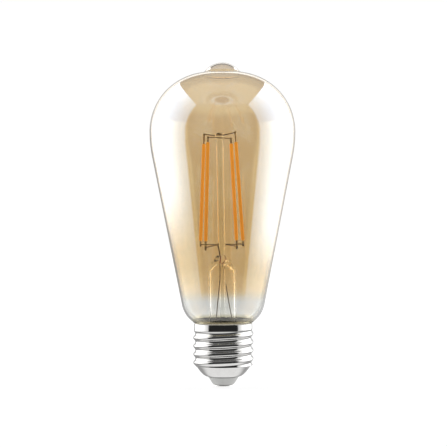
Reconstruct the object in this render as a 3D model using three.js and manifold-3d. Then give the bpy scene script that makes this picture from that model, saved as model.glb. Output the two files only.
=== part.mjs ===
// A smart LED filament lamp: a 64 mm amber Edison-shaped glass bulb on an E27 screw cap, with four LED
// filaments on a sealed glass stem, and its mains driver and radio module inside the cap.
// Millimetres, +Z up. The origin is the middle of the centre contact's flat face, where the lampholder
// presses.

import * as THREE from "three";
import { mergeVertices } from "three/addons/utils/BufferGeometryUtils.js";
import Module from "manifold-3d";

const wasm = await Module();
wasm.setup();
const degrees = THREE.MathUtils.degToRad;

// ---------------------------------------------------------------- driving dimensions

// Glass bulb: arcs that run into each other, from the neck up to the rounded tip
const LAMP_LENGTH = 142;
const BULB_RADIUS = 32;
const BULB_WALL = 0.8;
const WIDEST_Z = 111.7;
const CONE_ANGLE = degrees(11.18);
const BELLY_ARC = 56.6;
const SHOULDER_ARC = 26;
const TIP_ARC = 9.6;
const TIP_FILLET = 3.5;
const BASE_ARC = 12;
const BASE_ARC_TOP_Z = 35.7;
const GLASS_FOOT_Z = 28.3;
const HEEL_ROUND = 0.35;
const NECK_RADIUS = 11.5;
const NECK_WALL = 1.1;
const NECK_BOTTOM_Z = 19.6;

// E27 screw cap: a knuckle thread of equal crest and root arcs, 7 turns to the inch
const THREAD_PITCH = 25.4 / 7;
const THREAD_ARC = 1.15;
const THREAD_CREST_RADIUS = 13.2;
const THREAD_START_Z = 8.5;
const THREAD_FADE_Z = 23.3;
const COLLAR_Z = 25.2;
const COLLAR_RADIUS = 12.75;
const CAP_TOP_Z = 27.45;
const CAP_WALL = 0.35;
const CAP_LIP_RADIUS = 6.75;
const CAP_LIP_Z = 4.3;
const CAP_CONE_RADIUS = 7.9;
const CAP_CONE_SLOPE = 1.05;

// Foot of the cap
const CONTACT_RADIUS = 4.5;
const CONTACT_THICKNESS = 0.65;
const CONTACT_PIN_RADIUS = 1.2;
const CONTACT_PIN_TOP_Z = 6.3;
const INSULATOR_WAIST_RADIUS = 6.5;
const INSULATOR_TOP_RADIUS = 8.7;
const INSULATOR_TOP_Z = 7.4;
const INSULATOR_BORE_TOP_Z = 4;

// Glass stem: flare, tube, flat pinch, exhaust tube and the rod that carries the filament cage
const STEM_LEAN = degrees(0.8);
const STEM_RADIUS = 6.15;
const STEM_WALL = 0.9;
const FLARE_RADIUS = 10.2;
const FLARE_TOP_Z = 25;
const PINCH_HALF_WIDTH = 6.4;
const PINCH_HALF_THICKNESS = 1.5;
const PINCH_TURN = degrees(72);
const PINCH_TOP_Z = 57.5;
const PINCH_START_Z = 52.6;
const EXHAUST_RADIUS = 1.6;
const EXHAUST_BORE = 0.9;
const EXHAUST_HOLE_RADIUS = 0.6;
const EXHAUST_TIP_Z = 24.5;
const ROD_RADIUS = 1.7;
const BEAD_RADIUS = 1.95;
const BEAD_Z = 109.6;
const BEAD_HALF_HEIGHT = 1.6;

// Wires
const LEAD_SPACING = 5;
const SEAL_RADIUS = 0.28;
const OUTER_LEAD_RADIUS = 0.22;
const INNER_LEAD_RADIUS = 0.32;
const CAGE_WIRE_RADIUS = 0.25;
const SUPPLY_WIRE_RADIUS = 0.45;

// Filament cage: four strips on a cone, two longer-tabbed than the other two
const CAGE_TURN = degrees(-36);
const CAGE_TOP_RADIUS = 8.7;
const CAGE_BOTTOM_RADIUS = 11.5;
const STRIP_BOTTOM_Z = 63.8;
const STRIP_TOP_Z = 106.8;
const STRIP_WIDTH = 1.55;
const STRIP_THICKNESS = 1.2;
const TAB_WIDTH = 0.9;
const TAB_THICKNESS = 0.3;
const FORK_Z = 62.2;

// Driver inside the cap
const BOARD_FRONT_Y = 1;
const BOARD_THICKNESS = 1.2;
const BOARD_HALF_WIDTH = 10.2;
const BOARD_BOTTOM_Z = 8.6;
const BOARD_TOP_Z = 19;
const SLEEVE_RADIUS = 11.4;
const SLEEVE_WALL = 0.4;
const SLEEVE_BOTTOM_Z = 9;
const SLEEVE_TOP_Z = 19.2;
const MODULE_Y = 5.6;
const MODULE_THICKNESS = 0.8;
const MODULE_HALF_WIDTH = 4.5;
const MODULE_BOTTOM_Z = 9.6;
const MODULE_TOP_Z = 20;
const PIN_PITCH = 1.27;

// Clearance between pieces that touch on the real lamp
const JOINT_GAP = 0.06;

// Facets round a full circle
const LARGE_FACETS = 28;
const STEM_FACETS = 24;
const SMALL_FACETS = 16;
const ROUND_PART_FACETS = 20;
const THREAD_ROWS_PER_TURN = 6;

// ---------------------------------------------------------------- materials

const surface = (color, roughness, metalness) =>
  new THREE.MeshStandardMaterial({ color, roughness, metalness });
const tinted = (color, opacity) =>
  new THREE.MeshStandardMaterial({ color, roughness: 0.03, metalness: 0, opacity, transparent: true });

const amberGlass = tinted(0xc69a55, 0.4);
const clearGlass = tinted(0xe6e8e4, 0.35);
const nickelPlate = surface(0xd6d6d4, 0.14, 1);
const whitePlastic = surface(0xe4e4e0, 0.45, 0);
const cement = surface(0xb5a878, 0.8, 0);
const wireMetal = surface(0x8f8a80, 0.35, 1);
const sealCopper = surface(0xa9563a, 0.4, 1);
const tinnedCopper = surface(0xb9b4aa, 0.3, 1);
const phosphor = surface(0xf08a1e, 0.6, 0);
const circuitBoard = surface(0x1f6b3f, 0.5, 0);
const radioBoard = surface(0x17242c, 0.5, 0);
const blackEpoxy = surface(0x1b1b1d, 0.55, 0);
const canSleeve = surface(0x2b2e45, 0.4, 0);
const ferrite = surface(0x37352f, 0.75, 0);
const copper = surface(0xc2703c, 0.3, 1);
const resistorCoat = surface(0x8fb0a0, 0.5, 0);
const redInsulation = surface(0xb3261f, 0.5, 0);
const whiteInsulation = surface(0xe8e6df, 0.5, 0);
const sleeveFilm = surface(0xd9d7cf, 0.4, 0);

// ---------------------------------------------------------------- shape helpers

// Points of an arc in the (radius, height) plane, leaving out its first point
function arc([r, z], radius, from, to, steps) {
  return Array.from({ length: steps }, (_, i) => {
    const angle = from + ((to - from) * (i + 1)) / steps;
    return [r + radius * Math.cos(angle), z + radius * Math.sin(angle)];
  });
}

// A solid of revolution about Z. The outline runs up its outer side, and starts and ends on the axis or
// on itself.
function turned(outline, facets = SMALL_FACETS) {
  const points = outline.map(([r, z]) => new THREE.Vector2(Math.max(r, 0), z));
  return new THREE.LatheGeometry(points, facets).rotateX(Math.PI / 2);
}

// A ring of revolution about Z, whose outline closes on itself
const turnedRing = (outline, facets) => turned([...outline, outline[0]], facets);

// A block standing between two corners
function block([x0, y0, z0], [x1, y1, z1]) {
  const middle = [(x0 + x1) / 2, (y0 + y1) / 2, (z0 + z1) / 2];
  return new THREE.BoxGeometry(x1 - x0, y1 - y0, z1 - z0).translate(...middle);
}

// An upright round bar between two heights
function bar(radius, bottomZ, topZ, facets = SMALL_FACETS) {
  return turned([[0, bottomZ], [radius, bottomZ], [radius, topZ], [0, topZ]], facets);
}

// A round wire through the given points
function wire(points, radius, steps) {
  const section = new THREE.Shape().absarc(0, 0, radius, 0, 2 * Math.PI);
  const knots = points.map((p) => new THREE.Vector3(...p));
  const extrudePath = new THREE.CatmullRomCurve3(knots, false, "centripetal");
  return new THREE.ExtrudeGeometry(section, { steps, curveSegments: 4, bevelEnabled: false, extrudePath });
}

// A closed skin over a row of rings with equally many points. A looped row joins its last ring to its
// first; any other is closed by a fan at each end.
function skin(rings, looped) {
  const count = rings[0].length;
  const points = rings.flat();
  const faces = [];
  const joined = looped ? rings.length : rings.length - 1;
  for (let row = 0; row < joined; row++) {
    const low = row * count;
    const high = ((row + 1) % rings.length) * count;
    for (let i = 0; i < count; i++) {
      const j = (i + 1) % count;
      faces.push(low + i, low + j, high + i, high + i, low + j, high + j);
    }
  }
  if (!looped) {
    const last = (rings.length - 1) * count;
    for (let i = 1; i < count - 1; i++) {
      faces.push(0, i + 1, i, last, last + i, last + i + 1);
    }
  }
  const geometry = new THREE.BufferGeometry().setFromPoints(points);
  geometry.setIndex(faces);
  return geometry;
}

// A geometry as a solid that can be joined and cut
function solidOf(geometry) {
  const bare = geometry.clone();
  bare.deleteAttribute("normal");
  bare.deleteAttribute("uv");
  const merged = mergeVertices(bare, 1e-4);
  const mesh = new wasm.Mesh({
    numProp: 3,
    vertProperties: merged.attributes.position.array,
    triVerts: new Uint32Array(merged.index.array),
  });
  return new wasm.Manifold(mesh);
}

// A solid as a geometry again
function geometryOf(solid) {
  const { vertProperties, triVerts } = solid.getMesh();
  return new THREE.BufferGeometry()
    .setAttribute("position", new THREE.BufferAttribute(vertProperties, 3))
    .setIndex(new THREE.BufferAttribute(triVerts, 1));
}

// A geometry with holes of the given shapes cut through it
const cut = (geometry, holes) =>
  geometryOf(holes.reduce((left, hole) => left.subtract(solidOf(hole)), solidOf(geometry)));

// Several geometries joined into one solid
const joined = (geometries) => geometryOf(geometries.map(solidOf).reduce((a, b) => a.add(b)));

function named(name, geometry, material) {
  const mesh = new THREE.Mesh(geometry, material);
  mesh.name = name;
  return mesh;
}

// ---------------------------------------------------------------- glass bulb

// Where the bulb's arcs are centred. The body is a straight cone between the belly arc and the base arc.
const bellyCentre = [BULB_RADIUS - BELLY_ARC, WIDEST_Z];
const shoulderCentre = [BULB_RADIUS - SHOULDER_ARC, WIDEST_Z];
const tipCentre = [0, LAMP_LENGTH - TIP_ARC];
const coneTop = [
  bellyCentre[0] + BELLY_ARC * Math.cos(CONE_ANGLE),
  WIDEST_Z - BELLY_ARC * Math.sin(CONE_ANGLE),
];
const coneRadiusAtBaseArc = coneTop[0] - (coneTop[1] - BASE_ARC_TOP_Z) * Math.tan(CONE_ANGLE);
const baseCentre = [
  coneRadiusAtBaseArc - BASE_ARC * Math.cos(CONE_ANGLE),
  BASE_ARC_TOP_Z + BASE_ARC * Math.sin(CONE_ANGLE),
];

// The fillet between shoulder and tip touches both arcs from outside, so its centre is a fixed distance
// from each.
function filletCentreOf([ar, az], reachA, [br, bz], reachB) {
  const apart = Math.hypot(br - ar, bz - az);
  const along = (apart ** 2 + reachA ** 2 - reachB ** 2) / (2 * apart);
  const aside = Math.sqrt(reachA ** 2 - along ** 2);
  const [ur, uz] = [(br - ar) / apart, (bz - az) / apart];
  return [ar + along * ur + aside * uz, az + along * uz - aside * ur];
}
const filletCentre = filletCentreOf(
  shoulderCentre,
  SHOULDER_ARC + TIP_FILLET,
  tipCentre,
  TIP_ARC + TIP_FILLET,
);
const angleTo = ([ar, az], [br, bz]) => Math.atan2(bz - az, br - ar);

// The bulb's outline from its foot up to the axis, moved inwards by inset
function bulbOutline(inset, footAngle) {
  const shoulderEnd = angleTo(shoulderCentre, filletCentre);
  const tipStart = angleTo(tipCentre, filletCentre);
  return [
    ...arc(baseCentre, BASE_ARC - inset, footAngle, -CONE_ANGLE, 5),
    ...arc(bellyCentre, BELLY_ARC - inset, -CONE_ANGLE, 0, 3),
    ...arc(shoulderCentre, SHOULDER_ARC - inset, 0, shoulderEnd, 8),
    ...arc(filletCentre, TIP_FILLET + inset, shoulderEnd - Math.PI, tipStart - Math.PI, 3),
    ...arc(tipCentre, TIP_ARC - inset, tipStart, Math.PI / 2, 4),
  ];
}

function glassEnvelope() {
  const outerFootAngle = -Math.asin((baseCentre[1] - GLASS_FOOT_Z) / BASE_ARC);
  const footRadius = baseCentre[0] + BASE_ARC * Math.cos(outerFootAngle);
  const neckBore = NECK_RADIUS - NECK_WALL;
  const innerArc = BASE_ARC - BULB_WALL;
  const innerFootAngle = -Math.acos((neckBore - baseCentre[0]) / innerArc);
  const innerFootZ = baseCentre[1] + innerArc * Math.sin(innerFootAngle);
  const inner = [
    [neckBore, NECK_BOTTOM_Z],
    [neckBore, innerFootZ],
    ...bulbOutline(BULB_WALL, innerFootAngle),
  ];
  const outer = [
    [NECK_RADIUS, NECK_BOTTOM_Z],
    [NECK_RADIUS, GLASS_FOOT_Z - HEEL_ROUND],
    [footRadius - HEEL_ROUND, GLASS_FOOT_Z - HEEL_ROUND],
    [footRadius, GLASS_FOOT_Z],
    ...bulbOutline(0, outerFootAngle),
  ];
  return turned([...inner.reverse(), ...outer], LARGE_FACETS);
}

// ---------------------------------------------------------------- screw cap

// Radius of the knuckle thread at a height and angle: crest arc and root arc meet halfway down the flank
function threadRadius(z, angle) {
  const turns = (z - THREAD_START_Z) / THREAD_PITCH - angle / (2 * Math.PI);
  const fromCrest = Math.abs(turns - Math.round(turns)) * THREAD_PITCH;
  const quarter = THREAD_PITCH / 4;
  const rise = Math.sqrt(THREAD_ARC ** 2 - quarter ** 2);
  const crestCentre = THREAD_CREST_RADIUS - THREAD_ARC;
  const rootCentre = crestCentre + 2 * rise;
  return fromCrest <= quarter
    ? crestCentre + Math.sqrt(THREAD_ARC ** 2 - fromCrest ** 2)
    : rootCentre - Math.sqrt(THREAD_ARC ** 2 - (THREAD_PITCH / 2 - fromCrest) ** 2);
}

// Outside radius of the cap: foot cone, then thread, then a plain collar that the thread fades into
function capRadius(z, angle) {
  const cone = CAP_CONE_RADIUS + (z - CAP_LIP_Z) * CAP_CONE_SLOPE;
  const fade = THREE.MathUtils.smoothstep(z, THREAD_FADE_Z, COLLAR_Z);
  return Math.min(cone, THREE.MathUtils.lerp(threadRadius(z, angle), COLLAR_RADIUS, fade));
}

function screwShell() {
  const angles = Array.from({ length: LARGE_FACETS }, (_, i) => (2 * Math.PI * i) / LARGE_FACETS);
  const ring = (z, radiusAt) =>
    angles.map((a) => new THREE.Vector3(radiusAt(a) * Math.cos(a), radiusAt(a) * Math.sin(a), z));
  const rowStep = THREAD_PITCH / THREAD_ROWS_PER_TURN;
  const rows = Math.ceil((COLLAR_Z - THREAD_START_Z) / rowStep);
  const heights = [
    CAP_LIP_Z,
    (CAP_LIP_Z + THREAD_START_Z) / 2,
    ...Array.from({ length: rows }, (_, i) => THREAD_START_Z + i * rowStep),
    COLLAR_Z,
    CAP_TOP_Z - 0.3,
  ];
  const outer = heights.map((z) => ring(z, (a) => capRadius(z, a)));
  const rim = ring(CAP_TOP_Z, () => COLLAR_RADIUS - CAP_WALL / 2);
  const inner = heights.map((z) => ring(z, (a) => capRadius(z, a) - CAP_WALL)).reverse();
  inner.pop();
  const lip = [
    ring(CAP_LIP_Z + CAP_WALL, () => CAP_CONE_RADIUS - CAP_WALL),
    ring(CAP_LIP_Z + CAP_WALL, () => CAP_LIP_RADIUS),
    ring(CAP_LIP_Z, () => CAP_LIP_RADIUS),
  ];
  return skin([...outer, rim, ...inner, ...lip], true);
}

function cementRing() {
  const bore = NECK_RADIUS + JOINT_GAP;
  const outside = COLLAR_RADIUS - CAP_WALL - JOINT_GAP;
  const top = GLASS_FOOT_Z - HEEL_ROUND - JOINT_GAP;
  const section = [
    [bore, COLLAR_Z],
    [outside, COLLAR_Z],
    [outside, CAP_TOP_Z],
    [COLLAR_RADIUS, top - 0.1],
    [COLLAR_RADIUS, top],
    [bore, top],
  ];
  return turnedRing(section, LARGE_FACETS);
}

function baseInsulator() {
  const bottom = CONTACT_THICKNESS + 0.1;
  const bore = CONTACT_PIN_RADIUS + 0.15;
  return turnedRing(
    [
      [bore, bottom],
      [CONTACT_RADIUS - 0.1, bottom],
      [CONTACT_RADIUS + 0.4, bottom + 0.35],
      [INSULATOR_WAIST_RADIUS, INSULATOR_BORE_TOP_Z - 0.1],
      [INSULATOR_WAIST_RADIUS, INSULATOR_BORE_TOP_Z + 1],
      [INSULATOR_TOP_RADIUS, INSULATOR_TOP_Z - 1.1],
      [INSULATOR_TOP_RADIUS, INSULATOR_TOP_Z],
      [INSULATOR_TOP_RADIUS - 1.3, INSULATOR_TOP_Z],
      [INSULATOR_WAIST_RADIUS - 1.3, INSULATOR_BORE_TOP_Z],
      [bore, INSULATOR_BORE_TOP_Z],
    ],
    LARGE_FACETS,
  );
}

function centreContact() {
  return turned(
    [
      [0, 0],
      [CONTACT_RADIUS - 0.35, 0],
      [CONTACT_RADIUS, 0.3],
      [CONTACT_RADIUS, CONTACT_THICKNESS],
      [CONTACT_PIN_RADIUS, CONTACT_THICKNESS],
      [CONTACT_PIN_RADIUS, CONTACT_PIN_TOP_Z - 0.5],
      [CONTACT_PIN_RADIUS - 0.5, CONTACT_PIN_TOP_Z],
      [0, CONTACT_PIN_TOP_Z],
    ],
    LARGE_FACETS,
  );
}

// ---------------------------------------------------------------- glass stem

// Unit vectors along the pinch and across it
const alongPinch = new THREE.Vector3(Math.cos(PINCH_TURN), Math.sin(PINCH_TURN), 0);
const acrossPinch = new THREE.Vector3(Math.sin(PINCH_TURN), -Math.cos(PINCH_TURN), 0);

// A level section of the stem: a circle at squareness 2, nearer a rounded rectangle above that
function stemSection(halfWidth, halfThickness, squareness, z) {
  const bulge = (value) => Math.sign(value) * Math.abs(value) ** (2 / squareness);
  return Array.from({ length: STEM_FACETS }, (_, i) => {
    const a = (2 * Math.PI * i) / STEM_FACETS;
    return new THREE.Vector3(0, 0, z)
      .addScaledVector(acrossPinch, halfThickness * bulge(Math.cos(a)))
      .addScaledVector(alongPinch, halfWidth * bulge(Math.sin(a)));
  });
}

function stemTube() {
  const round = (radius, z) => stemSection(radius, radius, 2, z);
  const flare = (radius) => arc([FLARE_RADIUS, FLARE_TOP_Z], radius, Math.PI, 1.5 * Math.PI, 5);
  const bore = STEM_RADIUS - STEM_WALL;
  const flareArc = FLARE_RADIUS - STEM_RADIUS;
  const inside = [
    stemSection(bore - 0.9, 0.5, 2.4, PINCH_START_Z + 1.6),
    stemSection(bore - 0.3, 2.2, 2.2, PINCH_START_Z + 0.8),
    stemSection(bore - 0.2, 4, 2, PINCH_START_Z - 0.4),
    round(bore, PINCH_START_Z - 2),
    round(bore, FLARE_TOP_Z),
    ...flare(flareArc + STEM_WALL).map(([r, z]) => round(r, z)),
  ];
  const outside = [
    ...flare(flareArc).map(([r, z]) => round(r, z)).reverse(),
    round(STEM_RADIUS, FLARE_TOP_Z),
    round(STEM_RADIUS, PINCH_START_Z),
    stemSection(STEM_RADIUS + 0.15, 4.6, 2.2, PINCH_START_Z + 1.6),
    stemSection(PINCH_HALF_WIDTH, 2.6, 2.6, PINCH_START_Z + 3.3),
    stemSection(PINCH_HALF_WIDTH - 0.3, PINCH_HALF_THICKNESS + 0.2, 3, PINCH_TOP_Z - 0.5),
    stemSection(PINCH_HALF_WIDTH - 1, PINCH_HALF_THICKNESS - 0.5, 3, PINCH_TOP_Z),
  ];
  const sealHoles = [-1, 1].map((side) => {
    const hole = bar(SEAL_RADIUS + JOINT_GAP, PINCH_START_Z, PINCH_TOP_Z + 1, 8);
    return hole.translate(...leadPoint(side, 0).toArray());
  });
  const exhaustHole = bar(EXHAUST_HOLE_RADIUS, 0, STEM_RADIUS, 12)
    .rotateY(Math.PI / 2)
    .rotateZ(PINCH_TURN - Math.PI / 2)
    .translate(0, 0, PINCH_START_Z + 0.8);
  return cut(skin([...inside, ...outside], false), [...sealHoles, exhaustHole]);
}

// Where a lead passes through the pinch: side -1 is the left lead, at the front, and 1 the right lead, at
// the back
function leadPoint(side, z) {
  return new THREE.Vector3(0, 0, z).addScaledVector(alongPinch, (side * LEAD_SPACING) / 2);
}

function exhaustTube() {
  const top = PINCH_START_Z - 0.5;
  return turned(
    [
      [0, EXHAUST_TIP_Z + 2],
      [EXHAUST_BORE, EXHAUST_TIP_Z + 3],
      [EXHAUST_BORE, top],
      [EXHAUST_RADIUS, top],
      [EXHAUST_RADIUS, EXHAUST_TIP_Z + 2.2],
      [EXHAUST_RADIUS * 0.7, EXHAUST_TIP_Z + 0.8],
      [0, EXHAUST_TIP_Z],
    ].reverse(),
  );
}

function supportRod() {
  const foot = PINCH_TOP_Z + JOINT_GAP;
  const neck = BEAD_Z - BEAD_HALF_HEIGHT - 0.5;
  const beadTop = BEAD_Z + BEAD_HALF_HEIGHT;
  const bead = [0.25, 0.6, 0.88, 1, 0.88, 0.6].map((share, i) => [
    ROD_RADIUS + (BEAD_RADIUS - ROD_RADIUS) * share,
    BEAD_Z + BEAD_HALF_HEIGHT * (-1 + i / 3),
  ]);
  const crown = [[ROD_RADIUS - 0.6, beadTop], [0, beadTop]];
  const rod = turned([[0, foot], [ROD_RADIUS, foot], [ROD_RADIUS, neck], ...bead, ...crown]);
  const holes = topWireHeights.map((z, i) =>
    bar(CAGE_WIRE_RADIUS + JOINT_GAP, -4, 4, 12)
      .rotateY(Math.PI / 2)
      .rotateZ(cageAngle(i))
      .translate(0, 0, z),
  );
  return cut(rod, holes);
}

// ---------------------------------------------------------------- filament cage

// Strips 0 and 2 are the outer pair and have their own wire through the bead, above the wire of strips
// 1 and 3
const topWireHeights = [BEAD_Z + 0.55, BEAD_Z - 0.55];
const topTabLengths = [4.6, 2.6, 4.6, 2.6];
const bottomTabLengths = [2.5, 4, 2.5, 4];
const cageAngle = (index) => CAGE_TURN + (index * Math.PI) / 2;

const stripRise = STRIP_TOP_Z - STRIP_BOTTOM_Z;
const stripTilt = Math.atan2(CAGE_BOTTOM_RADIUS - CAGE_TOP_RADIUS, stripRise);
const stripLength = Math.hypot(CAGE_BOTTOM_RADIUS - CAGE_TOP_RADIUS, stripRise);

// Distance of a strip's middle line from the axis, at a height
const cageRadius = (z) => CAGE_BOTTOM_RADIUS - (z - STRIP_BOTTOM_Z) * Math.tan(stripTilt);

// A point beside a strip, a little inside its line, where a wire is welded to its tab
function weldPoint(index, z) {
  const reach = cageRadius(z) - TAB_THICKNESS / 2 - CAGE_WIRE_RADIUS - JOINT_GAP;
  return [reach * Math.cos(cageAngle(index)), reach * Math.sin(cageAngle(index)), z];
}

// A strip's own frame: its foot on the cage cone, Z along the strip, X outwards
function stripFrame(index) {
  const turn = new THREE.Group();
  turn.rotation.z = cageAngle(index);
  const tilt = new THREE.Group();
  tilt.position.set(CAGE_BOTTOM_RADIUS, 0, STRIP_BOTTOM_Z);
  tilt.rotation.y = -stripTilt;
  turn.add(tilt);
  return { turn, tilt };
}

function stripBody() {
  const [x, y, round] = [STRIP_THICKNESS / 2, STRIP_WIDTH / 2, 0.35];
  const section = new THREE.Shape()
    .absarc(x - round, y - round, round, 0, 0.5 * Math.PI)
    .absarc(round - x, y - round, round, 0.5 * Math.PI, Math.PI)
    .absarc(round - x, round - y, round, Math.PI, 1.5 * Math.PI)
    .absarc(x - round, round - y, round, 1.5 * Math.PI, 2 * Math.PI);
  const settings = { depth: stripLength, curveSegments: 1, bevelEnabled: false };
  return new THREE.ExtrudeGeometry(section, settings);
}

function tab(bottom, top) {
  return block([-TAB_THICKNESS / 2, -TAB_WIDTH / 2, bottom], [TAB_THICKNESS / 2, TAB_WIDTH / 2, top]);
}

const topTab = (index) => tab(stripLength + JOINT_GAP, stripLength + topTabLengths[index]);
const bottomTab = (index) => tab(-bottomTabLengths[index], -JOINT_GAP);

function filament(index) {
  const { turn, tilt } = stripFrame(index);
  const number = index + 1;
  tilt.add(
    named(`filament_strip_${number}`, stripBody(), phosphor),
    named(`filament_top_tab_${number}`, topTab(index), wireMetal),
    named(`filament_bottom_tab_${number}`, bottomTab(index), wireMetal),
  );
  return turn;
}

// A support wire from one strip's top tab, level through the bead, to the tab of the strip opposite
function topWire(index) {
  const z = topWireHeights[index];
  const tabZ = STRIP_TOP_Z + topTabLengths[index] - 0.5;
  const level = (reach) => [reach * Math.cos(cageAngle(index)), reach * Math.sin(cageAngle(index)), z];
  const reach = BEAD_RADIUS + 1;
  const through = [level(reach), level(1), level(-1), level(-reach)];
  return wire([weldPoint(index, tabZ), ...through, weldPoint(index + 2, tabZ)], CAGE_WIRE_RADIUS, 12);
}

// Where each inner lead reaches the fork above it
const forkPoint = (side) => [side * 1.6, side * 1.7, FORK_Z];

// A fork joins one lead to the bottom tabs of the two strips on its side
function bottomFork(side) {
  const [outer, inner] = side < 0 ? [2, 3] : [0, 1];
  const ends = [weldPoint(outer, FORK_Z + 0.1), weldPoint(inner, FORK_Z - 1)];
  const towards = (end, share) => forkPoint(side).map((value, i) => value + (end[i] - value) * share);
  const near = ends.map((end) => towards(end, 0.3));
  return wire([ends[0], near[0], forkPoint(side), near[1], ends[1]], CAGE_WIRE_RADIUS, 14);
}

function innerLead(side) {
  const foot = leadPoint(side, PINCH_TOP_Z + 0.2).toArray();
  const top = forkPoint(side);
  top[2] -= CAGE_WIRE_RADIUS + 0.2;
  const middle = [(foot[0] * 2 + top[0]) / 3, (foot[1] * 2 + top[1]) / 3, (foot[2] + top[2]) / 2];
  return wire([foot, middle, top], INNER_LEAD_RADIUS, 5);
}

// A seal wire runs through the pinch glass, and a soft outer lead goes on from it down to the board
function sealWire(side) {
  const [x, y] = leadPoint(side, 0).toArray();
  return bar(SEAL_RADIUS, PINCH_START_Z + 1.8, PINCH_TOP_Z - JOINT_GAP, 8).translate(x, y, 0);
}

function outerLead(side) {
  const top = leadPoint(side, PINCH_START_Z + 1.6).toArray();
  const padY = BOARD_FRONT_Y - OUTER_LEAD_RADIUS - 0.1;
  const left = [
    [-1, -2.4, 47],
    [-2.2, -2.5, 36],
    [-3.1, -2.6, 28.5],
    [-4.9, -1.9, 22],
    [-7.4, -0.6, 19.6],
    [-9.3, padY, 18.2],
    [-9.3, padY, 16.4],
  ];
  const right = [
    [1.3, 2.4, 47],
    [2.9, 2.2, 36],
    [4.1, 1.5, 28.5],
    [5.2, 0.7, 21.5],
    [6.8, padY, 18.6],
    [6.8, padY, 17],
  ];
  return wire([top, ...(side < 0 ? left : right)], OUTER_LEAD_RADIUS, 24);
}

// ---------------------------------------------------------------- driver in the cap

const boardBackY = BOARD_FRONT_Y + BOARD_THICKNESS;

function driverSleeve() {
  const bore = SLEEVE_RADIUS - SLEEVE_WALL;
  const section = [
    [bore, SLEEVE_BOTTOM_Z],
    [SLEEVE_RADIUS, SLEEVE_BOTTOM_Z],
    [SLEEVE_RADIUS, SLEEVE_TOP_Z],
    [bore, SLEEVE_TOP_Z],
  ];
  return turnedRing(section, LARGE_FACETS);
}

function driverBoard() {
  const low = [-BOARD_HALF_WIDTH, BOARD_FRONT_Y, BOARD_BOTTOM_Z];
  return block(low, [BOARD_HALF_WIDTH, boardBackY, BOARD_TOP_Z]);
}

const capacitor = { x: -5.6, y: -2.3, radius: 3.1, bottom: 9.4, top: 18.2 };

function electrolyticCapacitor() {
  const { x, y, radius, bottom, top } = capacitor;
  const can = [
    [0, bottom],
    [radius - 0.3, bottom],
    [radius, bottom + 0.3],
    [radius, bottom + 1],
    [radius - 0.2, bottom + 1.3],
    [radius, bottom + 1.6],
    [radius, top - 0.3],
    [radius - 0.3, top],
    [0, top],
  ];
  return turned(can, ROUND_PART_FACETS).translate(x, y, 0);
}

// Drum choke: a ferrite bobbin standing on end, with its winding between the flanges
const choke = { x: 4.7, y: -2.35, bottom: 9.5, top: 15.9, flange: 3.1, core: 1.5, winding: 2.8, lip: 1 };

function inductorCore() {
  const { bottom, top, flange, core, lip } = choke;
  const bobbin = [
    [0, bottom],
    [flange, bottom],
    [flange, bottom + lip],
    [core, bottom + lip],
    [core, top - lip],
    [flange, top - lip],
    [flange, top],
    [0, top],
  ];
  return turned(bobbin, ROUND_PART_FACETS).translate(choke.x, choke.y, 0);
}

function inductorWinding() {
  const bottom = choke.bottom + choke.lip + JOINT_GAP;
  const top = choke.top - choke.lip - JOINT_GAP;
  const bore = choke.core + 2 * JOINT_GAP;
  const section = [[bore, bottom], [choke.winding, bottom], [choke.winding, top], [bore, top]];
  return turnedRing(section, ROUND_PART_FACETS).translate(choke.x, choke.y, 0);
}

// Fusible resistor, standing on end with a swollen cap at each end
const resistor = { x: -0.5, y: -2.6, bottom: 9.6, top: 15.9, end: 1.2, waist: 1.05 };

function fusibleResistor() {
  const { x, y, bottom, top, end, waist } = resistor;
  const body = [
    [0, bottom],
    [end - 0.3, bottom],
    [end, bottom + 0.4],
    [end, bottom + 1.4],
    [waist, bottom + 1.9],
    [waist, top - 1.9],
    [end, top - 1.4],
    [end, top - 0.4],
    [end - 0.3, top],
    [0, top],
  ];
  return turned(body).translate(x, y, 0);
}

function bridgeRectifier() {
  return block([-8.4, boardBackY + JOINT_GAP, 11], [-3.7, boardBackY + 2.5, 14.9]);
}

function ledDriverChip() {
  return block([3.8, boardBackY + JOINT_GAP, 10.6], [8.7, boardBackY + 1.6, 14.5]);
}

// Five square pins in a plastic strip, from the driver board across to the radio module
function pinHeader() {
  const plastic = block([-3.2, boardBackY + JOINT_GAP, 10.2], [3.2, boardBackY + 2.2, 11.6]);
  const pins = [-2, -1, 0, 1, 2].map((i) => {
    const x = i * PIN_PITCH;
    return block([x - 0.25, boardBackY + 1.5, 10.65], [x + 0.25, MODULE_Y - JOINT_GAP, 11.15]);
  });
  return joined([plastic, ...pins]);
}

function moduleBoard() {
  const front = MODULE_Y + MODULE_THICKNESS;
  return block([-MODULE_HALF_WIDTH, MODULE_Y, MODULE_BOTTOM_Z], [MODULE_HALF_WIDTH, front, MODULE_TOP_Z]);
}

function shieldCan() {
  const front = MODULE_Y + MODULE_THICKNESS + JOINT_GAP;
  return block([-3.5, front, 10.2], [3.5, front + 1.5, 16.4]);
}

// Printed meander aerial on the module's upper edge
const meander = {
  trace: 0.35,
  thickness: 0.12,
  pitch: 1.2,
  height: 2.2,
  bottom: 17.2,
  left: -3.6,
  legs: 7,
};

function aerial() {
  const { trace, thickness, pitch, height, bottom, left, legs } = meander;
  const strips = [];
  for (let i = 0; i < legs; i++) {
    const x = left + i * pitch;
    strips.push([x, bottom, x + trace, bottom + height]);
    const z = i % 2 ? bottom : bottom + height - trace;
    if (i < legs - 1) strips.push([x, z, x + pitch + trace, z + trace]);
  }
  const front = MODULE_Y + MODULE_THICKNESS + JOINT_GAP;
  return joined(strips.map(([x0, z0, x1, z1]) => block([x0, front, z0], [x1, front + thickness, z1])));
}

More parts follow.
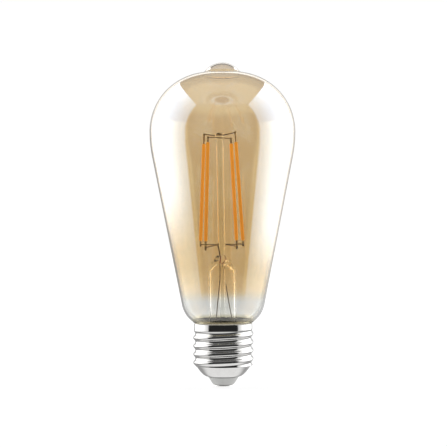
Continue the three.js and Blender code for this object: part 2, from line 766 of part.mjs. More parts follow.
// From the contact pin up to the fusible resistor, and from the board down to the cap's foot cone
function liveWire() {
  const route = [
    [0, 0, CONTACT_PIN_TOP_Z + 0.15],
    [0, -0.1, 6.9],
    [-0.3, -1.7, 8.1],
    [-0.5, -2.5, 8.7],
    [resistor.x, resistor.y, resistor.bottom - 0.2],
  ];
  return wire(route, SUPPLY_WIRE_RADIUS, 9);
}

function neutralWire() {
  const route = [
    [-9.2, 0.3, 11.5],
    [-9.3, 0.1, 10],
    [-9.4, -0.5, 8.7],
    [-9.4, -0.8, 7.7],
  ];
  return wire(route, SUPPLY_WIRE_RADIUS, 8);
}

// ---------------------------------------------------------------- assembly

const lamp = new THREE.Group();
lamp.add(
  named("glass_envelope", glassEnvelope(), amberGlass),
  named("screw_shell", screwShell(), nickelPlate),
  named("cement_ring", cementRing(), cement),
  named("base_insulator", baseInsulator(), whitePlastic),
  named("centre_contact", centreContact(), nickelPlate),
  named("driver_sleeve", driverSleeve(), sleeveFilm),
  named("driver_board", driverBoard(), circuitBoard),
  named("electrolytic_capacitor", electrolyticCapacitor(), canSleeve),
  named("inductor_core", inductorCore(), ferrite),
  named("inductor_winding", inductorWinding(), copper),
  named("fusible_resistor", fusibleResistor(), resistorCoat),
  named("bridge_rectifier", bridgeRectifier(), blackEpoxy),
  named("led_driver_chip", ledDriverChip(), blackEpoxy),
  named("pin_header", pinHeader(), blackEpoxy),
  named("wifi_module_board", moduleBoard(), radioBoard),
  named("wifi_shield_can", shieldCan(), nickelPlate),
  named("wifi_aerial", aerial(), copper),
  named("live_wire", liveWire(), redInsulation),
  named("neutral_wire", neutralWire(), whiteInsulation),
);

// The sealed stem and everything on it lean a little to -X about the flare's rim, as hand-set mounts do
const mount = new THREE.Group();
mount.position.z = NECK_BOTTOM_Z;
mount.rotation.y = -STEM_LEAN;
const onMount = new THREE.Group();
onMount.position.z = -NECK_BOTTOM_Z;
mount.add(onMount);
lamp.add(mount);

onMount.add(
  named("stem_tube", stemTube(), clearGlass),
  named("exhaust_tube", exhaustTube(), clearGlass),
  named("support_rod", supportRod(), clearGlass),
  named("top_wire_outer_pair", topWire(0), wireMetal),
  named("top_wire_inner_pair", topWire(1), wireMetal),
);
for (const [side, label] of [[-1, "left"], [1, "right"]]) {
  onMount.add(
    named(`seal_wire_${label}`, sealWire(side), sealCopper),
    named(`outer_lead_${label}`, outerLead(side), tinnedCopper),
    named(`inner_lead_${label}`, innerLead(side), wireMetal),
    named(`bottom_fork_${label}`, bottomFork(side), wireMetal),
  );
}
for (let index = 0; index < 4; index++) {
  onMount.add(filament(index));
}

export default lamp;
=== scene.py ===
"""A smart LED filament lamp, an amber Edison-shaped bulb on an E27 screw cap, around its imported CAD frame.

Lengths are in millimetres and become metres where a mesh is made. +Z runs from the contact to the tip.
"""

from math import acos, asin, atan2, copysign, cos, dist, exp, hypot, pi, radians, sin, sqrt, tan

import bmesh
import bpy
from mathutils import Matrix, Vector, noise


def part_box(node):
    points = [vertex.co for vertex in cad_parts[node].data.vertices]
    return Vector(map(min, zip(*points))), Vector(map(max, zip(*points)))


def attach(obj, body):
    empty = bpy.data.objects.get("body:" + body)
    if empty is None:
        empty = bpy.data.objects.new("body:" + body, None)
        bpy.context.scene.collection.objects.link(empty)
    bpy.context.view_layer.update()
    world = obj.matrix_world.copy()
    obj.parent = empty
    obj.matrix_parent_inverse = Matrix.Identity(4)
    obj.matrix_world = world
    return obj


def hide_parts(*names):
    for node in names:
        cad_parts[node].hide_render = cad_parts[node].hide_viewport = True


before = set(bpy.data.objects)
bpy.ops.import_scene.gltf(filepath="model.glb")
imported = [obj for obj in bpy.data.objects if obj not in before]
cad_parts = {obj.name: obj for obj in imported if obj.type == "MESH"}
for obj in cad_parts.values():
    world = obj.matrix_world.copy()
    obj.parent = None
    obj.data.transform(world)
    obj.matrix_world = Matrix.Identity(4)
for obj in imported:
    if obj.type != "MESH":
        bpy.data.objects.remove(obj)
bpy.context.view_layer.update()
scene = bpy.context.scene

MM = 0.001
TAU = 2 * pi


def top_of(node):
    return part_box(node)[1].z / MM


def foot_of(node):
    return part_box(node)[0].z / MM


# ---------- driving dimensions

# Glass bulb: arcs that run into each other
LAMP_LENGTH = top_of("glass_envelope")
BULB_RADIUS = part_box("glass_envelope")[1].x / MM
BULB_WALL = 0.8
WIDEST_Z = 111.7
CONE_ANGLE = radians(11.18)
BELLY_ARC = 56.6
SHOULDER_ARC = 26
TIP_ARC = 9.6
TIP_FILLET = 3.5
HEEL_ROUND = 0.35
BASE_ARC = 12
BASE_ARC_TOP_Z = 35.7
GLASS_FOOT_Z = 28.3
NECK_RADIUS = 11.5
NECK_WALL = 1.1
NECK_BOTTOM_Z = foot_of("glass_envelope")

# E27 screw cap
THREAD_PITCH = 25.4 / 7
THREAD_ARC = 1.15
THREAD_CREST_RADIUS = 13.2
THREAD_START_Z = 8.5
THREAD_FADE_Z = 23.3
COLLAR_Z = 25.2
COLLAR_RADIUS = 12.75
CAP_TOP_Z = top_of("screw_shell")
CAP_WALL = 0.35
CAP_LIP_Z = foot_of("screw_shell")
CAP_LIP_RADIUS = 7.3
CAP_LIP_BORE = 6.75
BOWL_TOP_Z = 8.4
BOWL_TOP_RADIUS = 11.6
BOWL_ROUNDNESS = 0.62
BOWL_FLARE = 1.5
BOWL_BLEND = 0.35

# Stem and cage
STEM_LEAN = radians(0.8)
STEM_RADIUS = 6.15
STEM_WALL = 0.9
FLARE_RADIUS = 10.2
FLARE_TOP_Z = 25
PINCH_TURN = radians(72)
PINCH_HALF_WIDTH = 6.4
PINCH_HALF_THICKNESS = 1.5
PINCH_START_Z = 52.6
PINCH_TOP_Z = 57.5
LEAD_SPACING = 5
INNER_LEAD_RADIUS = 0.3
OUTER_LEAD_RADIUS = 0.2
ROD_RADIUS = 1.7
BEAD_RADIUS = 1.95
BEAD_Z = 109.6
CAGE_TURN = radians(-36)
CAGE_TOP_RADIUS = 8.7
CAGE_BOTTOM_RADIUS = 11.5
STRIP_BOTTOM_Z = 63.8
STRIP_TOP_Z = 106.8
STRIP_WIDTH = 1.55
STRIP_THICKNESS = 1.2
TAB_WIDTH = 0.9
TAB_THICKNESS = 0.28
TAB_HOLE_RADIUS = 0.17
FORK_Z = 62.2
CAGE_WIRE_RADIUS = 0.23

# Driver
BOARD_FRONT_Y = 1
BOARD_BACK_Y = 2.2
MODULE_FRONT_Y = 5.6
MODULE_BACK_Y = 6.4
RESISTOR_BOTTOM_Z = 9.6
RESISTOR_TOP_Z = 15.9
SUPPLY_WIRE_RADIUS = 0.45
SUPPLY_CORE_RADIUS = 0.2

# Camera and frame of the picture
CAMERA_DISTANCE = 654
CAMERA_X = 0.3
CAMERA_Z = 71.3
CAMERA_ROLL = radians(0.25)
PICTURE_WIDTH = 196.4
SENSOR_WIDTH = 36


# ---------- outlines and paths


def arc(centre, radius, start, end, steps):
    """Points of an arc in the (radius, height) plane, without its first point."""
    angles = [start + (end - start) * (i + 1) / steps for i in range(steps)]
    return [(centre[0] + radius * cos(a), centre[1] + radius * sin(a)) for a in angles]


def touching(a, reach_a, b, reach_b):
    """The point at the given distances from a and from b, on the outer side of the line from a to b."""
    apart = dist(a, b)
    along = (apart**2 + reach_a**2 - reach_b**2) / (2 * apart)
    aside = sqrt(reach_a**2 - along**2)
    ur, uz = (b[0] - a[0]) / apart, (b[1] - a[1]) / apart
    return (a[0] + along * ur + aside * uz, a[1] + along * uz - aside * ur)


def angle_to(a, b):
    return atan2(b[1] - a[1], b[0] - a[0])


def full_turn(count):
    return [TAU * i / count for i in range(count)]


def around(radius, angle, z):
    """The point at a radius and an angle about Z."""
    return (radius * cos(angle), radius * sin(angle), z)


def bulge(value, power):
    """Squares off a cosine or sine, so that a round section gets flatter sides."""
    return copysign(abs(value) ** power, value)


def smoothstep(value, low, high):
    t = min(max((value - low) / (high - low), 0), 1)
    return t * t * (3 - 2 * t)


def lerp(a, b, t):
    return a + (b - a) * t


def shift(x, y, z):
    return Matrix.Translation((x, y, z))


def smooth_path(knots, steps):
    """Points along a smooth curve through the knots, with the given number of steps between each two."""
    knots = [Vector(k) for k in knots]
    lengths = [(b - a).length for a, b in zip(knots, knots[1:])]
    slopes = []
    for i in range(len(knots)):
        before, after = max(i - 1, 0), min(i + 1, len(knots) - 1)
        slopes.append((knots[after] - knots[before]) / sum(lengths[before:after]))
    points = [knots[0]]
    for i, length in enumerate(lengths):
        start, end = knots[i], knots[i + 1]
        out, back = start + slopes[i] * length / 3, end - slopes[i + 1] * length / 3
        for step in range(1, steps + 1):
            t = step / steps
            u = 1 - t
            points.append(start * u**3 + out * 3 * u * u * t + back * 3 * u * t * t + end * t**3)
    return points


# ---------- meshes


class Shape:
    """Closed bodies, gathered as points in millimetres and faces, that become one piece."""

    def __init__(self):
        self.points, self.faces, self.slots = [], [], []

    def add(self, points, faces, place=None, slot=0):
        start = len(self.points)
        self.points += [place @ Vector(p) if place else Vector(p) for p in points]
        self.faces += [tuple(start + i for i in face) for face in faces]
        self.slots += [slot] * len(faces)
        return self

    @staticmethod
    def skin(rows, count, looped):
        """Faces between rows of equally many points, and from the last row to the first if looped."""
        faces = []
        for row in range(rows if looped else rows - 1):
            low, high = row * count, (row + 1) % rows * count
            for i in range(count):
                j = (i + 1) % count
                faces.append((low + i, low + j, high + j, high + i))
        return faces

    def loft(self, rings, looped=False, place=None, slot=0):
        """A skin over rings of equally many points, closed by joining its ends or by a face at each."""
        count = len(rings[0])
        points = [p for ring in rings for p in ring]
        faces = self.skin(len(rings), count, looped)
        if not looped:
            last = (len(rings) - 1) * count
            faces.append(tuple(reversed(range(count))))
            faces.append(tuple(last + i for i in range(count)))
        return self.add(points, faces, place, slot)

    def turn(self, outline, segments=64, looped=False, place=None, slot=0):
        """A solid of revolution about Z. An outline that isn't looped starts and ends on the axis."""
        ring_outline = outline if looped else outline[1:-1]
        points = [around(r, a, z) for r, z in ring_outline for a in full_turn(segments)]
        rows = len(ring_outline)
        faces = self.skin(rows, segments, looped)
        if not looped:
            for pole, row in ((outline[0], 0), (outline[-1], rows - 1)):
                points.append((0, 0, pole[1]))
                base = row * segments
                faces += [(base + i, base + (i + 1) % segments, len(points) - 1) for i in range(segments)]
        return self.add(points, faces, place, slot)

    def sweep(self, path, radius, segments=12, place=None, slot=0):
        """A round wire along a path, domed at both ends. The radius may depend on the share of the path."""
        radius_at = radius if callable(radius) else lambda t: radius
        path = [Vector(p) for p in path]
        count = len(path)
        tangents = [(path[min(i + 1, count - 1)] - path[max(i - 1, 0)]).normalized() for i in range(count)]
        side = tangents[0].orthogonal().normalized()
        rings = []
        for i, (point, tangent) in enumerate(zip(path, tangents)):
            side = (side - tangent * side.dot(tangent)).normalized()
            up = tangent.cross(side)
            size = radius_at(i / (count - 1))
            caps = {0: (-0.9, -0.6), count - 1: (0.6, 0.9)}.get(i, ())
            stations = [(c, sqrt(1 - c * c)) for c in caps] + [(0, 1)]
            for shift, share in sorted(stations):
                centre = point + tangent * shift * size * 0.6
                rings.append(
                    [centre + (side * cos(a) + up * sin(a)) * size * share for a in full_turn(segments)]
                )
        return self.loft(rings, place=place, slot=slot)

    def ball(self, centre, radius, squash, place):
        tall = radius * squash
        angles = [pi * i / 8 for i in range(1, 8)]
        outline = [(0, -tall), *((radius * sin(a), -tall * cos(a)) for a in angles), (0, tall)]
        return self.turn(outline, 16, place=place @ shift(*centre))

    def block(self, low, high, bevel=0.1, place=None, slot=0):
        """A block between two corners, with rounded edges."""
        work = bmesh.new()
        bmesh.ops.create_cube(work, size=1)
        size = Vector(high) - Vector(low)
        middle = (Vector(high) + Vector(low)) / 2
        for vertex in work.verts:
            vertex.co = middle + Vector(a * b for a, b in zip(vertex.co, size))
        bmesh.ops.bevel(work, geom=list(work.edges), offset=bevel, segments=2, profile=0.5, affect="EDGES")
        work.verts.index_update()
        points = [v.co.copy() for v in work.verts]
        faces = [tuple(v.index for v in f.verts) for f in work.faces]
        work.free()
        return self.add(points, faces, place, slot)

    def piece(self, name, node, *materials, sharp=40, mirrored=True):
        """The gathered bodies as one piece that stands for a CAD node, shown in mirrors or not."""
        mesh = bpy.data.meshes.new(name)
        mesh.from_pydata([p * MM for p in self.points], [], self.faces)
        work = bmesh.new()
        work.from_mesh(mesh)
        bmesh.ops.recalc_face_normals(work, faces=work.faces)
        for face, slot in zip(work.faces, self.slots):
            face.smooth = True
            face.material_index = slot
        for edge in work.edges:
            edge.smooth = edge.is_manifold and edge.calc_face_angle() < radians(sharp)
        work.to_mesh(mesh)
        work.free()
        for material in materials:
            mesh.materials.append(material)
        holder = bpy.data.objects.new(name, mesh)
        holder.visible_glossy = mirrored
        scene.collection.objects.link(holder)
        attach(holder, "root")
        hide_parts(node)


# ---------- materials

GRAIN_RANGE = (0.3, 0.7)


class Paint:
    """One Principled material and the patterns that drive its colour, roughness and normal."""

    def __init__(self, name, color, roughness, metallic=0, **sockets):
        self.material = bpy.data.materials.new(name)
        self.material.use_nodes = True
        self.tree = self.material.node_tree
        self.link = self.tree.links.new
        self.shader = self.tree.nodes["Principled BSDF"]
        self.set("Base Color", (*color, 1))
        self.set("Roughness", roughness)
        self.set("Metallic", metallic)
        for socket, value in sockets.items():
            self.set(socket.replace("_", " "), value)
        self.color, self.roughness = color, roughness

    def set(self, socket, value):
        self.shader.inputs[socket].default_value = value

    def node(self, kind, **values):
        made = self.tree.nodes.new(kind)
        for socket, value in values.items():
            made.inputs[socket.replace("_", " ")].default_value = value
        return made

    def coordinates(self, stretch=(1, 1, 1)):
        """The place on the piece in millimetres, stretched along an axis where a pattern runs along it."""
        place = self.node("ShaderNodeTexCoord")
        mapping = self.node("ShaderNodeMapping", Scale=[s / MM for s in stretch])
        self.link(place.outputs["Object"], mapping.inputs["Vector"])
        return mapping.outputs["Vector"]

    def grain(self, size, stretch, detail=3):
        """A noise whose lumps are about size millimetres across, from 0 to 1."""
        texture = self.node("ShaderNodeTexNoise", Scale=1 / size, Detail=detail)
        self.link(self.coordinates(stretch), texture.inputs["Vector"])
        return texture.outputs["Fac"]

    def ramp(self, source, stops):
        """Colours by position along a source from 0 to 1."""
        ramp = self.node("ShaderNodeValToRGB")
        elements = ramp.color_ramp.elements
        while len(elements) < len(stops):
            elements.new(0.5)
        for element, (position, color) in zip(elements, stops):
            element.position = position
            element.color = (*color, 1)
        self.link(source, ramp.inputs["Fac"])
        return ramp.outputs["Color"]

    def rescale(self, source, low, high, to_low=0, to_high=1):
        """Carries the range from low to high over to another."""
        scale = self.node("ShaderNodeMapRange", From_Min=low, From_Max=high, To_Min=to_low, To_Max=to_high)
        self.link(source, scale.inputs["Value"])
        return scale.outputs["Result"]

    def bands(self, axis, low, high, *stops):
        """Colours that blend from stop to stop along an axis between low and high, in millimetres."""
        split = self.node("ShaderNodeSeparateXYZ")
        self.link(self.coordinates(), split.inputs["Vector"])
        share = self.rescale(split.outputs[axis], low, high)
        return self.ramp(share, [((place - low) / (high - low), color) for place, color in stops])

    def color_by(self, output):
        self.link(output, self.shader.inputs["Base Color"])
        return self

    def mottle(self, size, amount, stretch=(1, 1, 1)):
        """Varies the colour by a share of itself."""
        dark = tuple(c * (1 - amount) for c in self.color)
        light = tuple(min(c * (1 + amount), 1) for c in self.color)
        stops = list(zip(GRAIN_RANGE, (dark, light)))
        return self.color_by(self.ramp(self.grain(size, stretch), stops))

    def wear(self, size, spread, stretch=(1, 1, 1)):
        """Varies the roughness up and down by spread."""
        low, high = max(self.roughness - spread, 0), min(self.roughness + spread, 1)
        worn = self.rescale(self.grain(size, stretch, 4), *GRAIN_RANGE, low, high)
        self.link(worn, self.shader.inputs["Roughness"])
        return self

    def bump(self, size, depth, stretch=(1, 1, 1)):
        """Raises the surface by up to depth millimetres."""
        bump = self.node("ShaderNodeBump", Strength=1, Distance=depth * MM)
        self.link(self.grain(size, stretch), bump.inputs["Height"])
        self.link(bump.outputs["Normal"], self.shader.inputs["Normal"])
        return self


def solid(name, color, roughness, metallic=0, grain=0.8, amount=0.08, bumps=0.01):
    """An opaque material with slight variation in colour, polish and surface."""
    paint = Paint(name, color, roughness, metallic)
    return paint.mottle(grain, amount).wear(grain * 2, roughness * 0.3).bump(grain / 2, bumps).material


# Tints that the glass passes and colours that its film mirrors
# The foot's olive tint and its brown film below are painted shade and a painted reflection: they stand for
# the dark band where the glass meets the cap.
FOOT_PAINTED_SHADE_TINT = (0.8, 0.74, 0.5)
CLEAR_TINT = (0.955, 0.955, 0.935)
LIGHT_AMBER = (1, 0.9, 0.73)
DEEP_AMBER = (0.93, 0.8, 0.57)
TIP_AMBER = (0.95, 0.88, 0.79)
LUSTRE = (0.35, 0.58, 0.95)
FOOT_PAINTED_REFLECTION_FILM = (0.55, 0.46, 0.28)
BARE_GLASS = (0.15, 0.15, 0.15)
THIN_LUSTRE = (0.1, 0.15, 0.22)
LUSTRE_IOR = 2.6


def amber_glass():
    """Thin glass under a lustre film, which mirrors blue and passes amber and fades out near the foot. At
    the foot, an olive tint and a brown film are painted shade and a painted reflection for the dark band
    where the glass meets the cap.
    """
    paint = Paint("amber_glass", DEEP_AMBER, 0.0, IOR=LUSTRE_IOR, Transmission_Weight=1)
    whole = ("Z", GLASS_FOOT_Z, LAMP_LENGTH)
    clear_top, amber_start = 37.6, 42.2
    # Painted shade: the olive tint at the very foot of the glass.
    foot = [(28.6, FOOT_PAINTED_SHADE_TINT), (30.2, CLEAR_TINT), (clear_top, CLEAR_TINT), (amber_start, LIGHT_AMBER)]
    dome = [(115, LIGHT_AMBER), (137, LIGHT_AMBER), (138.6, TIP_AMBER)]
    paint.color_by(paint.bands(*whole, *foot, (52, DEEP_AMBER), (75, DEEP_AMBER), *dome))
    # Painted reflection: the brown film at the very foot of the glass.
    foot_film = [(28.6, FOOT_PAINTED_REFLECTION_FILM), (29.8, BARE_GLASS), (clear_top, BARE_GLASS), (amber_start, LUSTRE)]
    film = paint.bands(*whole, *foot_film, (135.4, LUSTRE), (137.4, THIN_LUSTRE))
    paint.link(film, paint.shader.inputs["Specular Tint"])
    return paint.material


def drawn_glass(name, color, ior):
    """Clear glass, faintly streaked along its length where it was drawn."""
    paint = Paint(name, color, 0.0, IOR=ior, Transmission_Weight=1)
    return paint.mottle(1.2, 0.02, (1, 1, 0.1)).material


def nickel_plate():
    paint = Paint("nickel_plate", (0.53, 0.525, 0.515), 0.1, 1)
    return paint.mottle(3, 0.03).wear(1.5, 0.05, (1, 1, 2.5)).bump(0.9, 0.004, (1, 1, 2)).material


def phosphor():
    """Silicone loaded with phosphor: orange and a little translucent, with a painted glow that brightens the
    unlit strips as if more light fell on them.
    """
    paint = Paint("phosphor", (0.95, 0.42, 0.05), 0.42, Subsurface_Weight=0.25, Subsurface_Scale=0.0004)
    paint.set("Subsurface Radius", (1, 0.4, 0.1))
    # Painted light: this emission is a glow that stands in for light falling on the unlit strips.
    paint.set("Emission Color", (1, 0.45, 0.05, 1))
    paint.set("Emission Strength", 0.6)
    return paint.mottle(0.7, 0.1).bump(0.25, 0.01).material


def capacitor_sleeve():
    """Dark vinyl sleeve with the pale stripe that marks the negative side."""
    paint = Paint("capacitor_sleeve", (0.03, 0.035, 0.08), 0.35)
    stripe = paint.bands("X", -10, 0, (-8.3, (0.55, 0.57, 0.6)), (-8.25, paint.color))
    return paint.color_by(stripe).wear(0.8, 0.08).material


def resistor_coat():
    """Pale green coating with four colour bands."""
    body, width, edge = (0.25, 0.45, 0.36), 0.55, 0.025
    brown, black, red, gold = (0.35, 0.12, 0.02), (0.02, 0.02, 0.02), (0.6, 0.06, 0.03), (0.6, 0.42, 0.1)
    paint = Paint("resistor_coat", body, 0.35)
    stops = [(RESISTOR_BOTTOM_Z, body)]
    for z, color in ((10.6, brown), (11.9, black), (13.1, red), (14.8, gold)):
        stops += [(z, body), (z + edge, color), (z + width, color), (z + width + edge, body)]
    painted = paint.bands("Z", RESISTOR_BOTTOM_Z, RESISTOR_TOP_Z, *stops)
    return paint.color_by(painted).wear(0.6, 0.08).material


AMBER_GLASS = amber_glass()
CLEAR_GLASS = drawn_glass("clear_glass", (0.985, 0.985, 0.97), 1.12)
ROD_GLASS = drawn_glass("rod_glass", (1, 0.99, 0.93), 1.62)
NICKEL = nickel_plate()
PHOSPHOR = phosphor()
CAPACITOR_SLEEVE = capacitor_sleeve()
RESISTOR_COAT = resistor_coat()
CEMENT = solid("cement", (0.74, 0.69, 0.58), 0.85, grain=0.5, amount=0.25, bumps=0.05)
INSULATOR = solid("white_insulator", (0.5, 0.5, 0.485), 0.4, grain=2, amount=0.04, bumps=0.006)
CONTACT = solid("contact_metal", (0.9, 0.9, 0.88), 0.45, 1, grain=0.7, bumps=0.015)
CAGE_WIRE = solid("cage_wire", (0.16, 0.12, 0.07), 0.4, 1, grain=0.4, amount=0.3)
LEAD_WIRE = solid("lead_wire", (0.3, 0.24, 0.17), 0.5, 1, grain=0.4, amount=0.2)
TAB_METAL = solid("filament_tab", (0.2, 0.15, 0.08), 0.38, 1, grain=0.5, amount=0.3)
SEAL_COPPER = solid("seal_copper", (0.75, 0.27, 0.17), 0.5, 0.5, grain=0.5, amount=0.2)
TINNED_COPPER = solid("tinned_copper", (0.2, 0.165, 0.12), 0.45, 1, grain=0.5)
SOLDER = solid("solder", (0.62, 0.62, 0.6), 0.25, 1, grain=0.5)
GREEN_BOARD = solid("green_board", (0.015, 0.13, 0.06), 0.35, grain=1.2, amount=0.25, bumps=0.004)
RADIO_BOARD = solid("radio_board", (0.012, 0.02, 0.03), 0.35, grain=1.2, amount=0.25, bumps=0.004)
BLACK_EPOXY = solid("black_epoxy", (0.02, 0.02, 0.022), 0.5, grain=0.15, amount=0.3, bumps=0.01)
FERRITE = solid("ferrite", (0.05, 0.047, 0.043), 0.65, grain=0.3, amount=0.3, bumps=0.02)
COPPER = solid("copper", (0.6, 0.22, 0.08), 0.28, 1, grain=0.4, amount=0.12)
SHIELD_CAN = solid("shield_can", (0.65, 0.65, 0.62), 0.24, 1, grain=1.5, amount=0.05, bumps=0.006)
RED_SILICONE = solid("red_insulation", (0.5, 0.03, 0.02), 0.5, grain=0.6)
WHITE_SILICONE = solid("white_insulation", (0.75, 0.74, 0.7), 0.5, grain=0.6)
SLEEVE_FILM = solid("sleeve_film", (0.7, 0.68, 0.62), 0.35, grain=2.5, amount=0.05)


# ---------- glass bulb

belly_centre = (BULB_RADIUS - BELLY_ARC, WIDEST_Z)
shoulder_centre = (BULB_RADIUS - SHOULDER_ARC, WIDEST_Z)
tip_centre = (0, LAMP_LENGTH - TIP_ARC)
fillet_centre = touching(shoulder_centre, SHOULDER_ARC + TIP_FILLET, tip_centre, TIP_ARC + TIP_FILLET)
cone_top = (
    belly_centre[0] + BELLY_ARC * cos(CONE_ANGLE),
    WIDEST_Z - BELLY_ARC * sin(CONE_ANGLE),
)
cone_foot_radius = cone_top[0] - (cone_top[1] - BASE_ARC_TOP_Z) * tan(CONE_ANGLE)
base_centre = (
    cone_foot_radius - BASE_ARC * cos(CONE_ANGLE),
    BASE_ARC_TOP_Z + BASE_ARC * sin(CONE_ANGLE),
)


def bulb_outline(inset, foot_angle):
    """The bulb's outline from its foot up to the axis, moved inwards by inset."""
    shoulder_end = angle_to(shoulder_centre, fillet_centre)
    tip_start = angle_to(tip_centre, fillet_centre)
    base = arc(base_centre, BASE_ARC - inset, foot_angle, -CONE_ANGLE, 14)
    belly = arc(belly_centre, BELLY_ARC - inset, -CONE_ANGLE, 0, 10)
    (low_r, low_z), (high_r, high_z) = base[-1], belly[0]
    cone = [(lerp(low_r, high_r, i / 12), lerp(low_z, high_z, i / 12)) for i in range(1, 12)]
    return [
        *base,
        *cone,
        *belly,
        *arc(shoulder_centre, SHOULDER_ARC - inset, 0, shoulder_end, 36),
        *arc(fillet_centre, TIP_FILLET + inset, shoulder_end - pi, tip_start - pi, 12),
        *arc(tip_centre, TIP_ARC - inset, tip_start, pi / 2, 14),
    ]


def build_bulb():
    foot_angle = -asin((base_centre[1] - GLASS_FOOT_Z) / BASE_ARC)
    foot_radius = base_centre[0] + BASE_ARC * cos(foot_angle)
    bore = NECK_RADIUS - NECK_WALL
    inner_arc = BASE_ARC - BULB_WALL
    inner_angle = -acos((bore - base_centre[0]) / inner_arc)
    inner_foot_z = base_centre[1] + inner_arc * sin(inner_angle)
    neck_top = GLASS_FOOT_Z - HEEL_ROUND
    outer = [(NECK_RADIUS, lerp(NECK_BOTTOM_Z, neck_top, i / 6)) for i in range(6)]
    outer.append((NECK_RADIUS + 0.02, neck_top))
    outer += arc((foot_radius - HEEL_ROUND, GLASS_FOOT_Z), HEEL_ROUND, -pi / 2, 0, 5)
    outer += [(foot_radius, GLASS_FOOT_Z)] + bulb_outline(0, foot_angle)
    inner = [(bore, lerp(NECK_BOTTOM_Z, inner_foot_z, i / 8)) for i in range(9)]
    inner += bulb_outline(BULB_WALL, inner_angle)
    Shape().turn(inner[::-1] + outer, 160).piece("amber_bulb", "glass_envelope", AMBER_GLASS, sharp=50)


# ---------- screw cap


def thread_radius(z, angle):
    """Knuckle thread: a crest arc and a root arc meet halfway down the flank."""
    turns = (z - THREAD_START_Z) / THREAD_PITCH - angle / TAU
    from_crest = abs(turns - round(turns)) * THREAD_PITCH
    quarter = THREAD_PITCH / 4
    rise = sqrt(THREAD_ARC**2 - quarter**2)
    crest_centre = THREAD_CREST_RADIUS - THREAD_ARC
    if from_crest <= quarter:
        return crest_centre + sqrt(THREAD_ARC**2 - from_crest**2)
    return crest_centre + 2 * rise - sqrt(THREAD_ARC**2 - (THREAD_PITCH / 2 - from_crest) ** 2)


def cap_radius(z, angle):
    """Outside of the cap: a rounded bowl, then the thread, which fades into a plain collar."""
    share = max((z - CAP_LIP_Z) / (BOWL_TOP_Z - CAP_LIP_Z), 0)
    bowl = CAP_LIP_RADIUS + (BOWL_TOP_RADIUS - CAP_LIP_RADIUS) * min(share, 1) ** BOWL_ROUNDNESS
    bowl += BOWL_FLARE * max(z - BOWL_TOP_Z, 0)
    fade = smoothstep(z, THREAD_FADE_Z, COLLAR_Z)
    thread = lerp(thread_radius(z, angle), COLLAR_RADIUS, fade)
    mix = min(max(0.5 + 0.5 * (thread - bowl) / BOWL_BLEND, 0), 1)
    return lerp(thread, bowl, mix) - BOWL_BLEND * mix * (1 - mix)


def build_screw_shell():
    """Rolled sheet of even thickness. Its rings are close together at the lip and along the thread."""
    angles = full_turn(144)
    half_wall = CAP_WALL / 2

    def wall(z, inset):
        return [around(cap_radius(z, a) - inset, a, z) for a in angles]

    def folded_edge(radius, z, start):
        bends = [start + pi * i / 6 for i in range(7)]
        corners = [(radius + half_wall * cos(b), z + half_wall * sin(b)) for b in bends]
        return [[around(r, a, height) for a in angles] for r, height in corners]

    low = [CAP_LIP_Z + 0.12 * (1.35**i - 1) for i in range(10)]
    fine = 0.17
    count = int((COLLAR_Z - low[-1]) / fine)
    heights = low + [low[-1] + fine * (i + 1) for i in range(count)] + [COLLAR_Z + 0.3, COLLAR_Z + 1.5]
    inner_heights = [z for z in heights[::-2] if z > CAP_LIP_Z + 2 * CAP_WALL]
    rings = [wall(z, 0) for z in heights]
    rings += folded_edge(COLLAR_RADIUS - half_wall, CAP_TOP_Z - half_wall, 0)
    rings += [wall(z, CAP_WALL) for z in inner_heights]
    rings += folded_edge(CAP_LIP_BORE + half_wall, CAP_LIP_Z + half_wall, pi / 2)
    Shape().loft(rings, looped=True).piece("screw_cap", "screw_shell", NICKEL, sharp=60)


def build_cement():
    """A bead of capping cement that was squeezed out of the joint a little, so its edge wanders."""
    bottom, bore = COLLAR_Z + 0.2, NECK_RADIUS + 0.05
    outside = COLLAR_RADIUS - CAP_WALL - 0.05
    wander_depth, most_proud = 0.12, 0.02
    outline = [
        (bore, bottom),
        (outside, bottom),
        (outside, CAP_TOP_Z - 0.1),
        (outside + 0.16, CAP_TOP_Z + 0.08),
        (outside + 0.34, CAP_TOP_Z + 0.28),
        (outside + 0.34, GLASS_FOOT_Z - 0.45),
        (outside + 0.2, GLASS_FOOT_Z - 0.4),
        (bore, GLASS_FOOT_Z - 0.4),
    ]
    rings = []
    for radius, z in outline:
        ring = []
        for a in full_turn(144):
            wander = noise.noise(around(6, a, z)) * wander_depth if radius > outside else 0
            ring.append(around(radius + min(wander, most_proud), a, z + min(wander / 4, 0)))
        rings.append(ring)
    Shape().loft(rings, looped=True).piece("capping_cement", "cement_ring", CEMENT)


def build_insulator():
    bore, bottom = 1.35, 0.75
    outline = [
        (bore, bottom),
        (4.2, bottom),
        *arc((4.2, bottom + 0.7), 0.7, -pi / 2, -radians(38), 6),
        (6.5, 3.75),
        *arc((6.42, 3.95), 0.22, -radians(38), radians(90), 4),
        (6.3, 4.2),
        (6.3, 5),
        (8.6, 6.3),
        (8.6, 7.2),
        (8.4, 7.4),
        (7.4, 7.4),
        (5.2, 4.2),
        (4.9, 4),
        (bore, 4),
    ]
    Shape().turn(outline, 96, looped=True).piece("cap_insulator", "base_insulator", INSULATOR, sharp=30)


def build_contact():
    outline = [
        (0, 0),
        (1.5, 0),
        (3.2, 0),
        (4.1, 0.02),
        *arc((4.15, 0.35), 0.33, -pi / 2, pi / 2, 8),
        (1.3, 0.68),
        (1.2, 0.8),
        (1.2, 5.8),
        *arc((0.7, 5.8), 0.5, 0, pi / 2, 5),
        (0, 6.3),
    ]
    Shape().turn(outline, 96).piece("contact_disc", "centre_contact", CONTACT, sharp=30)


# ---------- stem

